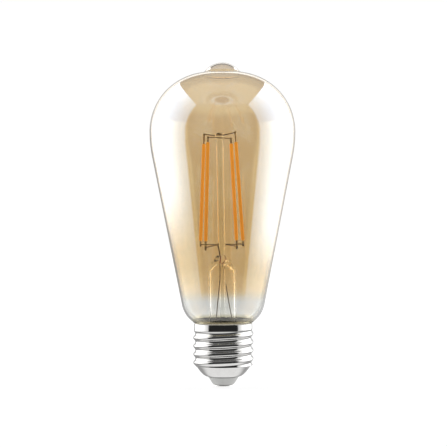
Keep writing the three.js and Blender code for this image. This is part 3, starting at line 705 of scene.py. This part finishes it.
LEAN = shift(0, 0, NECK_BOTTOM_Z) @ Matrix.Rotation(-STEM_LEAN, 4, "Y") @ shift(0, 0, -NECK_BOTTOM_Z)
along_pinch = Vector(around(1, PINCH_TURN, 0))
across_pinch = Vector((sin(PINCH_TURN), -cos(PINCH_TURN), 0))


def stem_section(half_width, half_thickness, squareness, z):
    """A level section: a circle at squareness 2, nearer a rounded rectangle above that."""
    ring = []
    for a in full_turn(72):
        across = across_pinch * half_thickness * bulge(cos(a), 2 / squareness)
        along = along_pinch * half_width * bulge(sin(a), 2 / squareness)
        ring.append(across + along + Vector((0, 0, z)))
    return ring


def between(sections, steps):
    """Sections eased from one key section to the next."""
    eased = [stem_section(*sections[0])]
    for a, b in zip(sections, sections[1:]):
        for i in range(1, steps + 1):
            t = i / steps
            bend = smoothstep(t, 0, 1)
            sizes = [lerp(p, q, bend) for p, q in zip(a[:3], b[:3])]
            eased.append(stem_section(*sizes, lerp(a[3], b[3], t)))
    return eased


def build_stem():
    bore = STEM_RADIUS - STEM_WALL
    flare_arc = FLARE_RADIUS - STEM_RADIUS

    def flare(radius):
        points = arc((FLARE_RADIUS, FLARE_TOP_Z), radius, pi, 1.5 * pi, 12)
        return [stem_section(r, r, 2, z) for r, z in points]

    inside = between(
        [
            (4.4, 0.5, 2.4, PINCH_START_Z + 1.6),
            (5, 2.2, 2.2, PINCH_START_Z + 0.8),
            (5.1, 4, 2, PINCH_START_Z - 0.4),
            (bore, bore, 2, PINCH_START_Z - 2),
            (bore, bore, 2, FLARE_TOP_Z),
        ],
        5,
    )
    outside = between(
        [
            (STEM_RADIUS, STEM_RADIUS, 2, FLARE_TOP_Z),
            (STEM_RADIUS, STEM_RADIUS, 2, PINCH_START_Z),
            (6.3, 4.6, 2.2, PINCH_START_Z + 1.6),
            (PINCH_HALF_WIDTH, 2.6, 2.6, PINCH_START_Z + 3.3),
            (PINCH_HALF_WIDTH - 0.3, PINCH_HALF_THICKNESS + 0.2, 3, PINCH_TOP_Z - 0.5),
            (PINCH_HALF_WIDTH - 1, PINCH_HALF_THICKNESS - 0.5, 3, PINCH_TOP_Z),
        ],
        6,
    )
    rings = inside + flare(flare_arc + STEM_WALL) + flare(flare_arc)[::-1] + outside
    Shape().loft(rings, place=LEAN).piece("stem_glass", "stem_tube", CLEAR_GLASS, sharp=60)


def build_exhaust_tube():
    bottom, top = 24.5, PINCH_START_Z + 0.4
    radius, bore = 1.6, 0.95
    outline = [
        (0, bottom),
        *arc((0, bottom + radius), radius, -pi / 2, 0, 8),
        (radius, top),
        (bore, top),
        (bore, bottom + 3),
        *arc((0, bottom + 3), bore, 0, -pi / 2, 6),
        (0, bottom + 3 - bore),
    ]
    Shape().turn(outline, 40, place=LEAN).piece("exhaust_glass", "exhaust_tube", CLEAR_GLASS)


def build_rod():
    """Glass rod with its bead, melted round at the top and drawn in where it is fused to the pinch."""
    foot = PINCH_TOP_Z + 0.06
    half = 1.55
    bead = []
    for i in range(1, 9):
        swell = sin(pi * i / 10) ** 0.8
        bead.append((lerp(ROD_RADIUS, BEAD_RADIUS, swell), BEAD_Z + half * (-1 + i / 5)))
    outline = [
        (0, foot),
        (1.3, foot),
        (1.35, foot + 0.8),
        (1.5, foot + 2),
        (ROD_RADIUS, foot + 4),
        (ROD_RADIUS, 85),
        (ROD_RADIUS, BEAD_Z - half - 0.4),
        *bead,
        *arc((0.75, BEAD_Z + half - 1), 1, radians(15), pi / 2, 5),
        (0, BEAD_Z + half),
    ]
    shape = Shape().turn(outline, 48, place=LEAN)
    shape.piece("support_rod_glass", "support_rod", ROD_GLASS, sharp=60, mirrored=False)


# ---------- filament cage

top_tab_lengths = (4.6, 2.6, 4.6, 2.6)
bottom_tab_lengths = (2.5, 4, 2.5, 4)
top_wire_heights = (BEAD_Z + 0.55, BEAD_Z - 0.55)
strip_rise = STRIP_TOP_Z - STRIP_BOTTOM_Z
strip_tilt = atan2(CAGE_BOTTOM_RADIUS - CAGE_TOP_RADIUS, strip_rise)
strip_length = hypot(CAGE_BOTTOM_RADIUS - CAGE_TOP_RADIUS, strip_rise)


def cage_angle(index):
    return CAGE_TURN + index * pi / 2


def strip_place(index):
    """A strip's own frame: its foot on the cage's cone, Z along the strip and X outwards."""
    turn = Matrix.Rotation(cage_angle(index), 4, "Z")
    foot = shift(CAGE_BOTTOM_RADIUS, 0, STRIP_BOTTOM_Z)
    return LEAN @ turn @ foot @ Matrix.Rotation(-strip_tilt, 4, "Y")


def weld_point(index, z):
    """A point just inside a strip's line, where a wire is welded to its tab."""
    reach = CAGE_BOTTOM_RADIUS - (z - STRIP_BOTTOM_Z) * tan(strip_tilt)
    reach -= TAB_THICKNESS / 2 + CAGE_WIRE_RADIUS + 0.03
    return Vector(around(reach, cage_angle(index), z))


def build_strip(index):
    """Phosphor silicone over a row of chips, which lift it a little. Its ends are domed."""
    chip_pitch, chip_lift, unevenness = 1.45, 0.035, 0.05
    dome, stations = 0.5, 190
    rings = []
    for i in range(stations + 1):
        z = strip_length * i / stations
        from_end = min(z, strip_length - z)
        close = sqrt(max(1 - max(1 - from_end / dome, 0) ** 2, 0.05))
        lift = 1 + chip_lift * cos(TAU * z / chip_pitch)
        slump = 1 + unevenness * noise.noise((index * 7.3, z * 0.35, 0))
        ring = []
        for a in full_turn(20):
            x = bulge(cos(a), 0.7) * STRIP_THICKNESS / 2 * lift
            y = bulge(sin(a), 0.7) * STRIP_WIDTH / 2 * slump
            ring.append((x * close, y * close, z))
        rings.append(ring)
    shape = Shape().loft(rings, place=strip_place(index))
    shape.piece(f"filament_{index + 1}", f"filament_strip_{index + 1}", PHOSPHOR, mirrored=False)


def build_tab(index, bottom, top, weld_z, name, node):
    """A stamped tab with a hole, rounded at its free end, and the nugget where the wire is welded to it."""
    half, middle = TAB_WIDTH / 2, (bottom + top) / 2
    reach, thick, soft = (top - bottom) / 2, TAB_THICKNESS / 2, 0.05

    def loop(half_y, half_z, x):
        sides = [(bulge(cos(a), 0.45), bulge(sin(a), 0.6)) for a in full_turn(40)]
        return [(x, y * half_y, middle + z * half_z) for y, z in sides]

    rings = [
        loop(half - soft, reach - soft, thick),
        loop(half, reach, thick - soft),
        loop(half, reach, soft - thick),
        loop(half - soft, reach - soft, -thick),
        loop(TAB_HOLE_RADIUS, TAB_HOLE_RADIUS, -thick),
        loop(TAB_HOLE_RADIUS, TAB_HOLE_RADIUS, thick),
    ]
    place = strip_place(index)
    shape = Shape().loft(rings, looped=True, place=place)
    shape.ball((-thick * 0.6, 0, weld_z), 0.5, 0.85, place)
    shape.piece(name, node, TAB_METAL, mirrored=False)


def build_tabs(index):
    number = index + 1
    top = strip_length + top_tab_lengths[index]
    bottom = -bottom_tab_lengths[index]
    build_tab(index, strip_length - 0.3, top, top - 0.5, f"top_tab_{number}", f"filament_top_tab_{number}")
    build_tab(index, bottom, 0.3, bottom + 0.55, f"bottom_tab_{number}", f"filament_bottom_tab_{number}")


def build_top_wire(index, name, node):
    """A wire from a strip's top tab, down to the bead and through it, to the tab of the strip opposite."""
    tab_z = STRIP_TOP_Z + top_tab_lengths[index] - 0.5
    reaches = (BEAD_RADIUS + 1, 1, -1, -BEAD_RADIUS - 1)
    level = [around(reach, cage_angle(index), top_wire_heights[index]) for reach in reaches]
    path = smooth_path([weld_point(index, tab_z), *level, weld_point(index + 2, tab_z)], 10)
    Shape().sweep(path, CAGE_WIRE_RADIUS, place=LEAN).piece(name, node, CAGE_WIRE, mirrored=False)


def fork_point(side):
    return Vector((side * 1.6, side * 1.7, FORK_Z))


def lead_point(side, z):
    return along_pinch * (side * LEAD_SPACING / 2) + Vector((0, 0, z))


def build_fork(side, name, node):
    outer, inner = (2, 3) if side < 0 else (0, 1)
    ends = [weld_point(outer, FORK_Z + 0.1), weld_point(inner, FORK_Z - 1)]
    near = [fork_point(side).lerp(end, 0.3) for end in ends]
    path = smooth_path([ends[0], near[0], fork_point(side), near[1], ends[1]], 10)
    shape = Shape().sweep(path, CAGE_WIRE_RADIUS, place=LEAN)
    shape.ball(fork_point(side), 0.5, 0.8, LEAN)
    shape.piece(name, node, CAGE_WIRE, mirrored=False)


def build_inner_lead(side, name, node):
    foot = lead_point(side, PINCH_TOP_Z - 0.3)
    top = fork_point(side) - Vector((0, 0, 0.3))
    middle = Vector(((foot.x * 2 + top.x) / 3, (foot.y * 2 + top.y) / 3, (foot.z + top.z) / 2))
    path = smooth_path([foot, middle, top], 10)
    Shape().sweep(path, INNER_LEAD_RADIUS, 16, place=LEAN).piece(name, node, LEAD_WIRE, mirrored=False)


def build_seal_wire(side, name, node):
    """Copper-clad wire in the pinch, with a thicker knot at each end where the leads are welded on."""
    low, high = PINCH_START_Z + 1.8, PINCH_TOP_Z - 0.4
    path = [lead_point(side, lerp(low, high, i / 16)) for i in range(17)]

    def radius(t):
        return 0.2 + 0.12 * (exp(-((t / 0.1) ** 2)) + exp(-(((1 - t) / 0.1) ** 2)))

    Shape().sweep(path, radius, place=LEAN).piece(name, node, SEAL_COPPER)


def build_outer_lead(side, name, node):
    top = lead_point(side, PINCH_START_Z + 1.5)
    pad_y = BOARD_FRONT_Y - 0.32
    if side < 0:
        knots = [(-1, -2.4, 47), (-2.2, -2.5, 36), (-3.1, -2.6, 28.5), (-4.9, -1.9, 22), (-7.4, -0.6, 19.6)]
        knots += [(-9.3, pad_y, 18.2), (-9.3, pad_y, 16.4)]
    else:
        knots = [(1.3, 2.4, 47), (2.9, 2.2, 36), (4.1, 1.5, 28.5), (5.2, 0.7, 21.5)]
        knots += [(6.8, pad_y, 18.6), (6.8, pad_y, 17)]
    path = smooth_path([top, *knots], 8)
    Shape().sweep(path, OUTER_LEAD_RADIUS, 10, place=LEAN).piece(name, node, TINNED_COPPER)


# ---------- driver


def build_sleeve():
    """A rolled film whose two ends overlap."""
    low, high, wall = 9, 19.2, 0.32
    rings = []
    turns = 64
    for i in range(turns + 1):
        share = i / turns
        a = TAU * share * 1.04
        radius = 10.98 + 0.4 * smoothstep(share, 0.9, 0.96)
        corners = [(radius, low), (radius + wall, low), (radius + wall, high), (radius, high)]
        rings.append([around(r, a, z) for r, z in corners])
    Shape().loft(rings).piece("insulating_film", "driver_sleeve", SLEEVE_FILM)


def solder_joints(shape, places, y, towards, slot=1):
    """Domed joints on a board's face at the given (x, z) places."""
    face = Matrix.Rotation(-towards * pi / 2, 4, "X")
    outline = [(0, -0.02), (0.62, -0.02), (0.6, 0.06), (0.42, 0.2), (0.26, 0.42), (0.2, 0.6), (0, 0.64)]
    for x, z in places:
        shape.turn(outline, 16, place=shift(x, y, z) @ face, slot=slot)


def build_driver_board():
    shape = Shape().block((-10.2, BOARD_FRONT_Y, 8.6), (10.2, BOARD_BACK_Y, 19), 0.12)
    back = [(-7.2, 9.6), (-4.2, 9.6), (2.4, 17.4), (5.6, 17.4), (-0.5, 17.6), (-6.2, 17.2), (8.4, 16.6)]
    solder_joints(shape, back, BOARD_BACK_Y, 1)
    sunk, proud = BOARD_BACK_Y - 0.1, BOARD_BACK_Y + 0.5
    for x in (-8.8, -2.2, 1.4, 4.6):
        shape.block((x, sunk, 15.4), (x + 1.6, proud - 0.05, 16.2), 0.08, slot=2)
        for end in (x - 0.1, x + 1.35):
            shape.block((end, sunk, 15.35), (end + 0.35, proud, 16.25), 0.06, slot=1)
    shape.piece("driver_circuit", "driver_board", GREEN_BOARD, SOLDER, BLACK_EPOXY)


def build_capacitor():
    bottom, top, radius = 9.4, 18.2, 3.1
    place = shift(-5.6, -2.3, 0)
    outline = [
        (0, bottom + 0.3),
        (2.2, bottom + 0.3),
        (2.4, bottom),
        *arc((radius - 0.35, bottom + 0.35), 0.35, -pi / 2, 0, 5),
        (radius, bottom + 0.9),
        (radius - 0.16, bottom + 1.15),
        (radius - 0.16, bottom + 1.35),
        (radius, bottom + 1.6),
        *arc((radius - 0.35, top - 0.35), 0.35, 0, pi / 2, 5),
        (2.45, top),
        (2.35, top - 0.15),
        (0, top - 0.15),
    ]
    shape = Shape().turn(outline, 48, place=place)
    lid = [(0, top - 0.18), (2.3, top - 0.18), (2.3, top - 0.08), (0, top - 0.06)]
    shape.turn(lid, 48, place=place, slot=1)
    for turn in (0, pi / 2):
        bar = place @ Matrix.Rotation(turn, 4, "Z")
        shape.block((-1.7, -0.06, top - 0.1), (1.7, 0.06, top - 0.01), 0.02, place=bar, slot=1)
    shape.piece("bulk_capacitor", "electrolytic_capacitor", CAPACITOR_SLEEVE, SHIELD_CAN, sharp=30)


CHOKE_PLACE = shift(4.7, -2.35, 0)


def build_choke():
    bottom, top, flange, core, lip = 9.5, 15.9, 3.1, 1.5, 1
    outline = [
        (0, bottom),
        *arc((flange - 0.2, bottom + 0.2), 0.2, -pi / 2, 0, 4),
        (flange, bottom + lip - 0.1),
        (flange - 0.1, bottom + lip),
        (core, bottom + lip),
        (core, top - lip),
        (flange - 0.1, top - lip),
        (flange, top - lip + 0.1),
        *arc((flange - 0.2, top - 0.2), 0.2, 0, pi / 2, 4),
        (0, top),
    ]
    Shape().turn(outline, 48, place=CHOKE_PLACE).piece("choke_core", "inductor_core", FERRITE, sharp=30)
    wire, turns = 0.17, 12
    low, high = bottom + lip + wire + 0.04, top - lip - wire - 0.04
    path = []
    for layer, radius in enumerate((1.9, 2.24, 2.58)):
        steps = turns * 20
        for i in range(steps):
            share = i / steps
            z = lerp(low, high, share if layer % 2 == 0 else 1 - share)
            path.append(around(radius, TAU * turns * share, z))
    Shape().sweep(path, wire, 8, place=CHOKE_PLACE).piece("choke_winding", "inductor_winding", COPPER)


def build_resistor():
    place = shift(-0.5, -2.6, 0)
    outline = [(0, RESISTOR_BOTTOM_Z)]
    for i in range(1, 24):
        share = i / 24
        end = sqrt(max(1 - abs(2 * share - 1) ** 6, 0))
        waist = 1.2 - 0.14 * smoothstep(min(share, 1 - share), 0.2, 0.3)
        outline.append((waist * end, lerp(RESISTOR_BOTTOM_Z, RESISTOR_TOP_Z, share)))
    outline.append((0, RESISTOR_TOP_Z))
    shape = Shape().turn(outline, 32, place=place)
    lead = [(-0.5, -2.6, 15.8), (-0.5, -2.6, 16.7), (-0.5, -2, 17.4), (-0.5, 0, 17.6), (-0.5, 0.9, 17.6)]
    shape.sweep(smooth_path(lead, 6), 0.25, slot=1)
    shape.piece("fuse_resistor", "fusible_resistor", RESISTOR_COAT, TINNED_COPPER)


def gull_wing(x, z, reach):
    """The path of one formed pin, from a package's side at x down to the board."""
    side = copysign(1, reach)
    low, high = BOARD_BACK_Y + 0.12, BOARD_BACK_Y + 0.92
    knots = [(x, high, z), (x + side * 0.3, high, z), (x + side * 0.5, low, z), (x + reach, low, z)]
    return smooth_path(knots, 4)


def build_package(low_x, high_x, low_z, high_z, height, pins, name, node):
    """A moulded package with formed pins along its two sides."""
    face = BOARD_BACK_Y + 0.15
    shape = Shape().block((low_x, face, low_z), (high_x, BOARD_BACK_Y + height, high_z), 0.12)
    for i in range(pins):
        z = lerp(low_z, high_z, (i + 0.5) / pins)
        shape.sweep(gull_wing(low_x, z, -0.75), 0.13, 8, slot=1)
        shape.sweep(gull_wing(high_x, z, 0.75), 0.13, 8, slot=1)
    dot = shift(low_x + 0.7, BOARD_BACK_Y + height, high_z - 0.7)
    dot = dot @ Matrix.Rotation(-pi / 2, 4, "X")
    shape.turn([(0, -0.02), (0.28, -0.02), (0.24, 0.02), (0, 0.02)], 16, place=dot, slot=1)
    shape.piece(name, node, BLACK_EPOXY, SOLDER)


def build_pin_header():
    shape = Shape().block((-3.2, BOARD_BACK_Y + 0.06, 10.2), (3.2, BOARD_BACK_Y + 2.2, 11.6), 0.15)
    for i in range(5):
        x = (i - 2) * 1.27
        low, high = (x - 0.25, BOARD_BACK_Y + 1.5, 10.65), (x + 0.25, MODULE_FRONT_Y - 0.06, 11.15)
        shape.block(low, high, 0.06, slot=1)
    shape.piece("header_strip", "pin_header", BLACK_EPOXY, SOLDER)


def build_radio_module():
    shape = Shape().block((-4.5, MODULE_FRONT_Y, 9.6), (4.5, MODULE_BACK_Y, 20), 0.08)
    under, over = MODULE_FRONT_Y - 0.05, MODULE_BACK_Y + 0.05
    for i in range(8):
        z = 10.2 + i * 0.85
        for x in (-4.5, 4.5):
            shape.block((x - 0.22, under, z), (x + 0.22, over, z + 0.45), 0.05, slot=1)
    shape.piece("radio_board", "wifi_module_board", RADIO_BOARD, SOLDER)
    front = MODULE_BACK_Y + 0.06
    can = Shape().block((-3.5, front, 10.2), (3.5, front + 1.5, 16.4), 0.3)
    can.block((-2.6, front + 1.4, 11.2), (2.6, front + 1.56, 15.4), 0.06)
    can.piece("radio_shield", "wifi_shield_can", SHIELD_CAN)
    meander = Shape()
    half_trace, pitch, height, bottom, left = 0.175, 1.2, 2.2, 17.2, -3.6
    knots = []
    for i in range(7):
        ends = (bottom, bottom + height) if i % 2 == 0 else (bottom + height, bottom)
        knots += [(left + i * pitch, z) for z in ends]
    for a, b in zip(knots, knots[1:]):
        low = (min(a[0], b[0]) - half_trace, front, min(a[1], b[1]) - half_trace)
        high = (max(a[0], b[0]) + half_trace, front + 0.1, max(a[1], b[1]) + half_trace)
        meander.block(low, high, 0.02)
    meander.piece("printed_aerial", "wifi_aerial", COPPER)


def build_supply_wire(knots, name, node, insulation):
    """Insulated wire with its bare tinned ends showing."""
    path = smooth_path(knots, 8)
    shape = Shape().sweep(path[3:-3], SUPPLY_WIRE_RADIUS, 16)
    shape.sweep(path, SUPPLY_CORE_RADIUS, 10, slot=1)
    shape.piece(name, node, insulation, TINNED_COPPER)


# ---------- light, floor and camera


class Field:
    """A number that varies with direction, written as plain arithmetic on shader nodes."""

    def __init__(self, tree, output):
        self.tree, self.output = tree, output

    def math(self, operation, other=None):
        made = self.tree.nodes.new("ShaderNodeMath")
        made.operation = operation
        for socket, value in zip(made.inputs, (self, other)):
            if isinstance(value, Field):
                self.tree.links.new(value.output, socket)
            elif value is not None:
                socket.default_value = value
        return Field(self.tree, made.outputs[0])

    def __add__(self, other):
        return self.math("ADD", other)

    def __sub__(self, other):
        return self.math("SUBTRACT", other)

    def __mul__(self, other):
        return self.math("MULTIPLY", other)

    __radd__, __rmul__ = __add__, __mul__

    def rise(self, low, high):
        """0 below low and 1 above high, eased between them."""
        made = self.tree.nodes.new("ShaderNodeMapRange")
        made.interpolation_type = "SMOOTHSTEP"
        made.inputs["From Min"].default_value = low
        made.inputs["From Max"].default_value = high
        self.tree.links.new(self.output, made.inputs["Value"])
        return Field(self.tree, made.outputs["Result"])

    def towards(self, other, share):
        """This value where share is 0, and the other where it is 1."""
        rest = (share * -1) + 1
        return self * rest + share * other


# Strengths of the light
BOX_LIGHT = 2.9
BOX_EDGE_LIGHT = 1.1
SIDE_LIGHT = 0.62
SIDE_FALLOFF = 0.1
BACK_LIGHT = 0.38
RIGHT_BACK_LIGHT = 0.62
BACK_TOP_LIGHT = 0.66
STRIPE_LIGHT = 1.2
CEILING_LIGHT = 0.29
FLOOR_LIGHT = 1.36
FRONT_LIGHT = 0.03
PAPER_LIGHT = 0.7
BACKDROP_LIGHT = 1.02
FLOOR_GLOW = 0.78

# Where the lit zones end, as weights of how far a direction points aside, away from the camera and up
BOX_FRONT_EDGE = (0.352, 0.804, 0.099)
BOX_TOP_EDGE = (0.727, 0.0795, -0.556)
RIGHT_BOX_DROP = 0.022
CEILING_RISE = 0.92
CEILING_SPREAD = 0.508


def build_studio():
    """Light by direction, as the glass and the cap mirror it.

    The front is dark and the ceiling grey. A tall soft box stands on each side and reaches round behind,
    over a dimmer wall and a bright floor. Straight behind is a grey wall, brighter near its top edge. What
    is seen directly, or straight through glass, is a plain white backdrop on every side.
    """
    world = bpy.data.worlds.new("studio")
    world.use_nodes = True
    tree = world.node_tree
    split = tree.nodes.new("ShaderNodeSeparateXYZ")
    direction = tree.nodes.new("ShaderNodeTexCoord")
    tree.links.new(direction.outputs["Generated"], split.inputs["Vector"])
    x, y, z = (Field(tree, split.outputs[axis]) for axis in "XYZ")
    across, down = x.math("ABSOLUTE"), z * -1

    def past(edge):
        return across * edge[0] + y * edge[1] + z * edge[2]

    # Front and ceiling
    light = z * z * 0.12 + z.rise(0.05, 0.6) * 0.06 + FRONT_LIGHT
    past_front = (y * z + z * z * CEILING_RISE - x * x * CEILING_SPREAD).rise(-0.003, 0.003)
    light = light.towards(CEILING_LIGHT, past_front * z.rise(0.03, 0.06))

    # Side walls, floor and boxes. A box's foot follows what a level view sees mirrored in the bulb's cone
    behind = past(BOX_FRONT_EDGE)
    beside = behind.rise(-0.12, -0.05)
    side_light = down.rise(0.1, 0.6) * -SIDE_FALLOFF + SIDE_LIGHT
    light = light.towards(side_light, beside * down.rise(-0.1, 0.1))
    light = light.towards(FLOOR_LIGHT, down.rise(0.5, 0.8))
    halfway = (y * -2 + 2).math("SQRT")
    above_foot = z + halfway * sin(CONE_ANGLE) + x.rise(-0.05, 0.05) * RIGHT_BOX_DROP
    box = beside * past(BOX_TOP_EDGE).rise(-0.004, 0.004) * above_foot.rise(-0.02, 0.035)
    strength = behind.rise(-0.15, 0.6) * (BOX_LIGHT - BOX_EDGE_LIGHT) + BOX_EDGE_LIGHT
    light = light.towards(strength, box)

    # Wall behind, with the stripe at its edge
    back_light = x.rise(-0.3, 0.3) * (RIGHT_BACK_LIGHT - BACK_LIGHT) + BACK_LIGHT
    light = light.towards(back_light, y.rise(0.74, 0.96))
    light = light.towards(BACK_TOP_LIGHT, y.rise(0.9, 0.97) * z.rise(0.01, 0.12))
    stripe = y.rise(0.8, 0.84) * (y.rise(0.9, 0.94) * -1 + 1)
    light = light.towards(STRIPE_LIGHT, stripe * z.rise(0.15, 0.25))

    # Backdrop
    path = tree.nodes.new("ShaderNodeLightPath")
    straight = Field(tree, path.outputs["Is Transmission Ray"])
    for depth in ("Glossy Depth", "Diffuse Depth"):
        straight = straight * Field(tree, path.outputs[depth]).math("LESS_THAN", 0.5)
    light = light.towards(PAPER_LIGHT, straight)
    light = light.towards(BACKDROP_LIGHT, Field(tree, path.outputs["Is Camera Ray"]))
    background = tree.nodes["Background"]
    background.inputs["Color"].default_value = (1, 1, 1, 1)
    tree.links.new(light.output, background.inputs["Strength"])
    scene.world = world


def build_floor():
    """A plain pale floor under the lamp. It glows, so that it meets the backdrop without a line."""
    work = bmesh.new()
    bmesh.ops.create_circle(work, cap_ends=True, segments=96, radius=3)
    mesh = bpy.data.meshes.new("floor")
    work.to_mesh(mesh)
    work.free()
    floor = bpy.data.objects.new("floor", mesh)
    scene.collection.objects.link(floor)
    floor.location.z = -0.0002
    paint = Paint("pale_floor", (0.25, 0.25, 0.25), 0.9, Emission_Strength=FLOOR_GLOW)
    paint.set("Emission Color", (1, 1, 1, 1))
    mesh.materials.append(paint.material)
    floor.visible_glossy = False
    floor.visible_transmission = False


def build_camera():
    camera = bpy.data.cameras.new("camera")
    camera.sensor_width = SENSOR_WIDTH
    camera.lens = SENSOR_WIDTH * CAMERA_DISTANCE / PICTURE_WIDTH
    camera.clip_start, camera.clip_end = 0.01, 20
    holder = bpy.data.objects.new("camera", camera)
    holder.location = (CAMERA_X * MM, -CAMERA_DISTANCE * MM, CAMERA_Z * MM)
    holder.rotation_euler = (pi / 2, CAMERA_ROLL, 0)
    scene.collection.objects.link(holder)
    bpy.context.scene.camera = holder
    scene.view_settings.view_transform = "Standard"


# ---------- assembly

build_camera()
build_studio()
build_floor()

build_bulb()
build_screw_shell()
build_cement()
build_insulator()
build_contact()

build_stem()
build_exhaust_tube()
build_rod()
for strip in range(4):
    build_strip(strip)
    build_tabs(strip)
for pair, label in enumerate(("outer_pair", "inner_pair")):
    build_top_wire(pair, f"bead_wire_{label}", f"top_wire_{label}")
for hand, label in ((-1, "left"), (1, "right")):
    build_fork(hand, f"cage_fork_{label}", f"bottom_fork_{label}")
    build_inner_lead(hand, f"cage_lead_{label}", f"inner_lead_{label}")
    build_seal_wire(hand, f"pinch_wire_{label}", f"seal_wire_{label}")
    build_outer_lead(hand, f"driver_lead_{label}", f"outer_lead_{label}")

build_sleeve()
build_driver_board()
build_capacitor()
build_choke()
build_resistor()
build_package(-8.4, -3.7, 11, 14.9, 2.5, 2, "rectifier", "bridge_rectifier")
build_package(3.8, 8.7, 10.6, 14.5, 1.6, 4, "driver_chip", "led_driver_chip")
build_pin_header()
build_radio_module()
build_supply_wire(
    [(0, 0, 6.5), (0, -0.1, 6.9), (-0.3, -1.7, 8.1), (-0.5, -2.5, 8.7), (-0.5, -2.6, 9.5)],
    "live_supply_wire",
    "live_wire",
    RED_SILICONE,
)
build_supply_wire(
    [(-9.2, 0.3, 11.5), (-9.3, 0.1, 10), (-9.4, -0.5, 8.7), (-9.4, -0.8, 7.8)],
    "neutral_supply_wire",
    "neutral_wire",
    WHITE_SILICONE,
)
